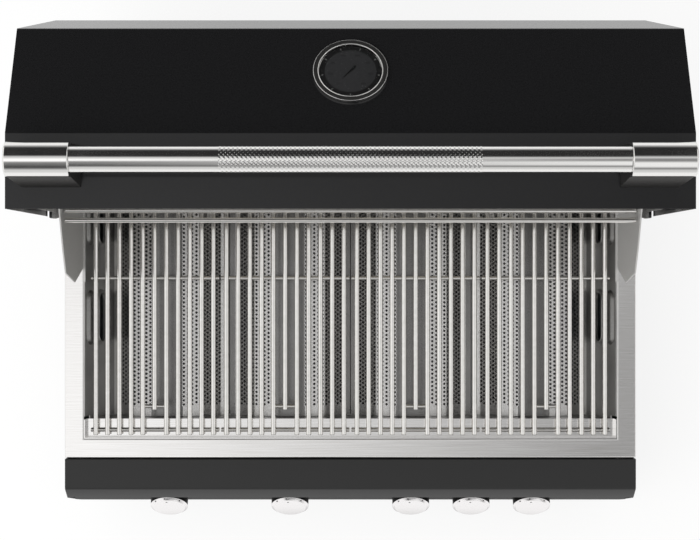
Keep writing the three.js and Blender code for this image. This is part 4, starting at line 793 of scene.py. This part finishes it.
def buildKnobs():
    # black skirt turned about the axis, under a turned metal cap: a flat face with a wide bevel and small marks
    k = knobs
    back, front, e, r = k["back"], k["back"] + k["length"], k["edge"], k["radius"]
    rim, shoulder, soft = front - k["bevelDrop"], r - k["bevelRun"], k["rimRound"]
    t = np.linspace(0, np.pi / 2, 5)
    body = np.concatenate([
        [(0, rim - k["skirtTop"]), (r - k["skirtIn"], rim - k["skirtTop"])], arc(r - e, back + e, e, -t),
        [(k["bore"], back), (k["bore"], back + k["boreDepth"]), (k["stemBore"], back + k["boreDepth"]),
         (k["stemBore"], back + k["stemDepth"]), (0, back + k["stemDepth"])]])
    cap = np.concatenate([
        [(0, front)], np.array(k["easeRings"]) + (shoulder, front),
        arc(r - soft, rim + k["rimAbove"] - soft, soft, np.pi / 2 - t),
        [(r, rim - k["rimFoot"]), (r - k["rimStep"], rim - k["capFoot"]), (0, rim - k["capFoot"])]])
    bevel = math.atan2(k["bevelDrop"], k["bevelRun"])
    slope = math.cos(bevel), math.sin(bevel)
    marks = [(angle, slope, k["markSize"], r - k["bevelRun"] / 2, (front + rim) / 2) for angle in k["markAngles"]]
    marks.append((k["dotAngle"], (1, 0), k["dotSize"], k["dotAt"], front))
    for number, x in enumerate(k["places"], 1):
        shells = [revolve(shape, k["sides"], index, lambda p: onKnob(p, x)) for index, shape in enumerate((body, cap))]
        for mark in marks:
            shells.append(revolve(k["markProfile"], k["markSides"], 2, lambda p: onKnob(onBevel(p, *mark), x)))
        makePiece(f"knobCap{number}", shells, [plastic, knobSteel, blackInk], f"knob_{number}",
                  stands=[f"knob_{number}"])


# the panel's (y, z) lines are measured from the frame's top
panel = {"line": [(-302.5, -14), (-302.5, 0), (-350.5, 0), (-367.8, -26.4), (-343.5, -47), (-379.5, -101),
                  (-389.3, -171), (-295.3, -171)], "bends": (0, 2.0, 5.5, 1.8, 2.0, 2.2, 2.5, 0), "sheet": 1.5,
         "cap": [(-302.5, -0.1), (-350.5, -0.1), (-367.7, -26.4), (-389.2, -171), (-278.5, -171), (-278.5, -26.5),
                 (-302.5, -26.5)], "capBend": 5.4, "half": 457.0}


def buildPanel():
    # one bent sheet with round bends, carried along X, and a flat cap on each end
    q = panel
    line = roundProfile(q["line"], q["bends"])
    outline = np.concatenate([line, offsetProfile(line, q["sheet"])[::-1]]) + (0, frameSheet["top"])
    cap = np.array(q["cap"], float)
    cap = np.concatenate([cap[:1], roundProfile(cap[:3], q["capBend"])[1:-1], cap[2:]]) + (0, frameSheet["top"])
    shells = [sweepAcross(outline, (-q["half"] + q["sheet"], q["half"] - q["sheet"]))]
    for side in (-1, 1):
        shells.append(sweepAcross(cap, sorted((side * q["half"], side * (q["half"] - q["sheet"])))))
    makePiece("panelSheet", shells, [paint], "grill_body", stands=["control_panel"])


buildPanel()
buildKnobs()
print("panel and knobs ready")


gauge = {"place": (0.0, 267.237, 701.4), "tilt": math.radians(-30), "radius": 50.5, "inner": 42.8, "height": 5.6,
         "sides": 128, "bezelEdge": 0.6, "bandDrop": 0.5, "bandFrom": 1.45, "bead": 0.65, "floor": 1.2,
         "lift": 0.3, "footEase": 0.4, "dial": 42.3, "dialLevels": (1.5, 2.3), "dialStep": 0.1, "dialEase": 0.05,
         "face": 34.9, "faceEase": 0.04, "print": 0.12, "tickDrop": 0.02, "numberLift": 0.05,
         # the scale: ticks anticlockwise and numbers clockwise from scaleStart, both by tickStep degrees
         "scaleStart": -90, "ticks": 9, "tickStep": 40, "tickIn": 37.3, "tickOut": 39.7, "tickWidth": 0.9,
         "numbers": ("100", "200", "300", "400", "500", "600", "700", "800"), "numberRadius": 27.3,
         "numberSize": 4.6, "needleAngle": 229, "needle": 17.0, "tipHalf": 0.2, "tail": 11.0, "needleWidth": 3.4,
         "needleLevels": (2.66, 3.24), "glassLevels": (3.67, 4.83), "glassGap": 0.3, "glassEase": 0.2,
         "glassSides": 96}


def onGauge(points):
    # local z points out of the hood's slanted panel
    return tilted(points, gauge["tilt"], gauge["place"])


def aimed(degrees):
    # the direction of an angle on the dial, and the direction to its left
    a = math.radians(degrees)
    return np.array((math.cos(a), math.sin(a))), np.array((-math.sin(a), math.cos(a)))


def raisedShape(flat, low, high, finishId):
    # an (x, y) outline given straight sides from low to high, then put on the gauge
    count = len(flat)
    points = np.concatenate([np.c_[flat, np.full(count, level)] for level in (low, high)])
    i = np.arange(count)
    sides = np.stack([i, (i + 1) % count, (i + 1) % count + count, i + count], 1)
    return onGauge(points), [sides, np.stack([i[::-1], i + count])], finishId


def numberShell(text, size, at, low, high):
    # a number as thin raised type: the font's outline filled, extruded, and moved to its place on the dial
    curve = bpy.data.curves.new(text, "FONT")
    curve.body, curve.size, curve.extrude, curve.resolution_u = text, size, (high - low) / 2, 2
    curve.align_x, curve.align_y = "CENTER", "CENTER"
    holder = addObject(text, curve)
    bpy.context.view_layer.update()
    mesh = bpy.data.meshes.new_from_object(holder.evaluated_get(bpy.context.evaluated_depsgraph_get()))
    points = np.empty(len(mesh.vertices) * 3)
    mesh.vertices.foreach_get("co", points)
    mesh.calc_loop_triangles()
    faces = np.empty(len(mesh.loop_triangles) * 3, np.int32)
    mesh.loop_triangles.foreach_get("vertices", faces)
    bpy.data.objects.remove(holder)
    bpy.data.curves.remove(curve)
    bpy.data.meshes.remove(mesh)
    return onGauge(points.reshape(-1, 3) + (at[0], at[1], (low + high) / 2)), [faces.reshape(-1, 3)], 2


def buildGauge():
    # bezel turned about the axis: eased outer edge, flat band, small round bead inside, then the wall to the seat
    g = gauge
    r, top, edge, bead = g["radius"], g["height"], g["bezelEdge"], g["bead"]
    t = np.linspace(0, np.pi / 2, 7)
    b = np.linspace(0, np.pi, 11)
    profile = np.concatenate([
        [(0, g["lift"]), (r - g["footEase"], g["lift"]), (r, g["lift"] + g["footEase"])],
        arc(r - edge, top - g["bandDrop"] - edge, edge, t),
        [(g["inner"] + g["bandFrom"], top - g["bandDrop"])], arc(g["inner"] + bead, top - bead, bead, b),
        [(g["inner"], g["floor"]), (0, g["floor"])]])
    makePiece("gaugeBezel", [revolve(profile, g["sides"], 0, onGauge)], [polished], "hood",
              stands=["thermometer_case"])
    # the dial: a dark ring plate, the face on it, nine ticks on the ring, and the numbers inside them on the face
    low, high = g["dialLevels"]
    seat, ring, inked, step = high - g["print"], high - g["dialStep"], high - g["tickDrop"], g["dialStep"]
    wide, face = g["dial"], g["face"]
    shells = [revolve([(0, low), (wide, low), (wide, ring - g["dialEase"]), (wide - step, ring), (0, ring)],
                      g["sides"], 2, onGauge),
              revolve([(0, seat), (face, seat), (face, high - g["faceEase"]), (face - step, high), (0, high)],
                      g["sides"], 0, onGauge)]
    for index in range(g["ticks"]):
        out, left = aimed(g["scaleStart"] + index * g["tickStep"])
        near, far, half = g["tickIn"] * out, g["tickOut"] * out, g["tickWidth"] / 2 * left
        shells.append(raisedShape(np.array([near - half, far - half, far + half, near + half]), seat, inked, 1))
    for index, text in enumerate(g["numbers"], 1):
        at = aimed(g["scaleStart"] - index * g["tickStep"])[0] * g["numberRadius"]
        shells.append(numberShell(text, g["numberSize"], at, inked, high + g["numberLift"]))
    makePiece("gaugeDial", shells, [dial, dialPrint, blackInk], "hood", stands=["thermometer_dial"])
    low, high = g["glassLevels"]
    rim, ease = g["inner"] - g["glassGap"], g["glassEase"]
    cover = [(0, low), (rim - ease, low), (rim, low + ease), (rim, high - ease), (rim - ease, high), (0, high)]
    makePiece("gaugeGlass", [revolve(cover, g["glassSides"], 0, onGauge)], [glass], "hood",
              stands=["thermometer_glass"])


def buildNeedle():
    # a blade in the dial's plane, widest at its round tail and tapering to the tip
    g = gauge
    out, left = aimed(g["needleAngle"])
    w = g["needleWidth"] / 2
    t = np.linspace(np.pi / 2, -np.pi / 2, 9)
    tail = -out * (g["tail"] - w) - out * (w * np.cos(t))[:, None] + left * (w * np.sin(t))[:, None]
    tip = [out * g["needle"] - left * g["tipHalf"], out * g["needle"] + left * g["tipHalf"]]
    makePiece("gaugeNeedle", [raisedShape(np.concatenate([tip, tail]), *g["needleLevels"], 0)], [needleFinish],
              "needle", stands=["thermometer_needle"])


buildGauge()
buildNeedle()
print("thermometer ready")
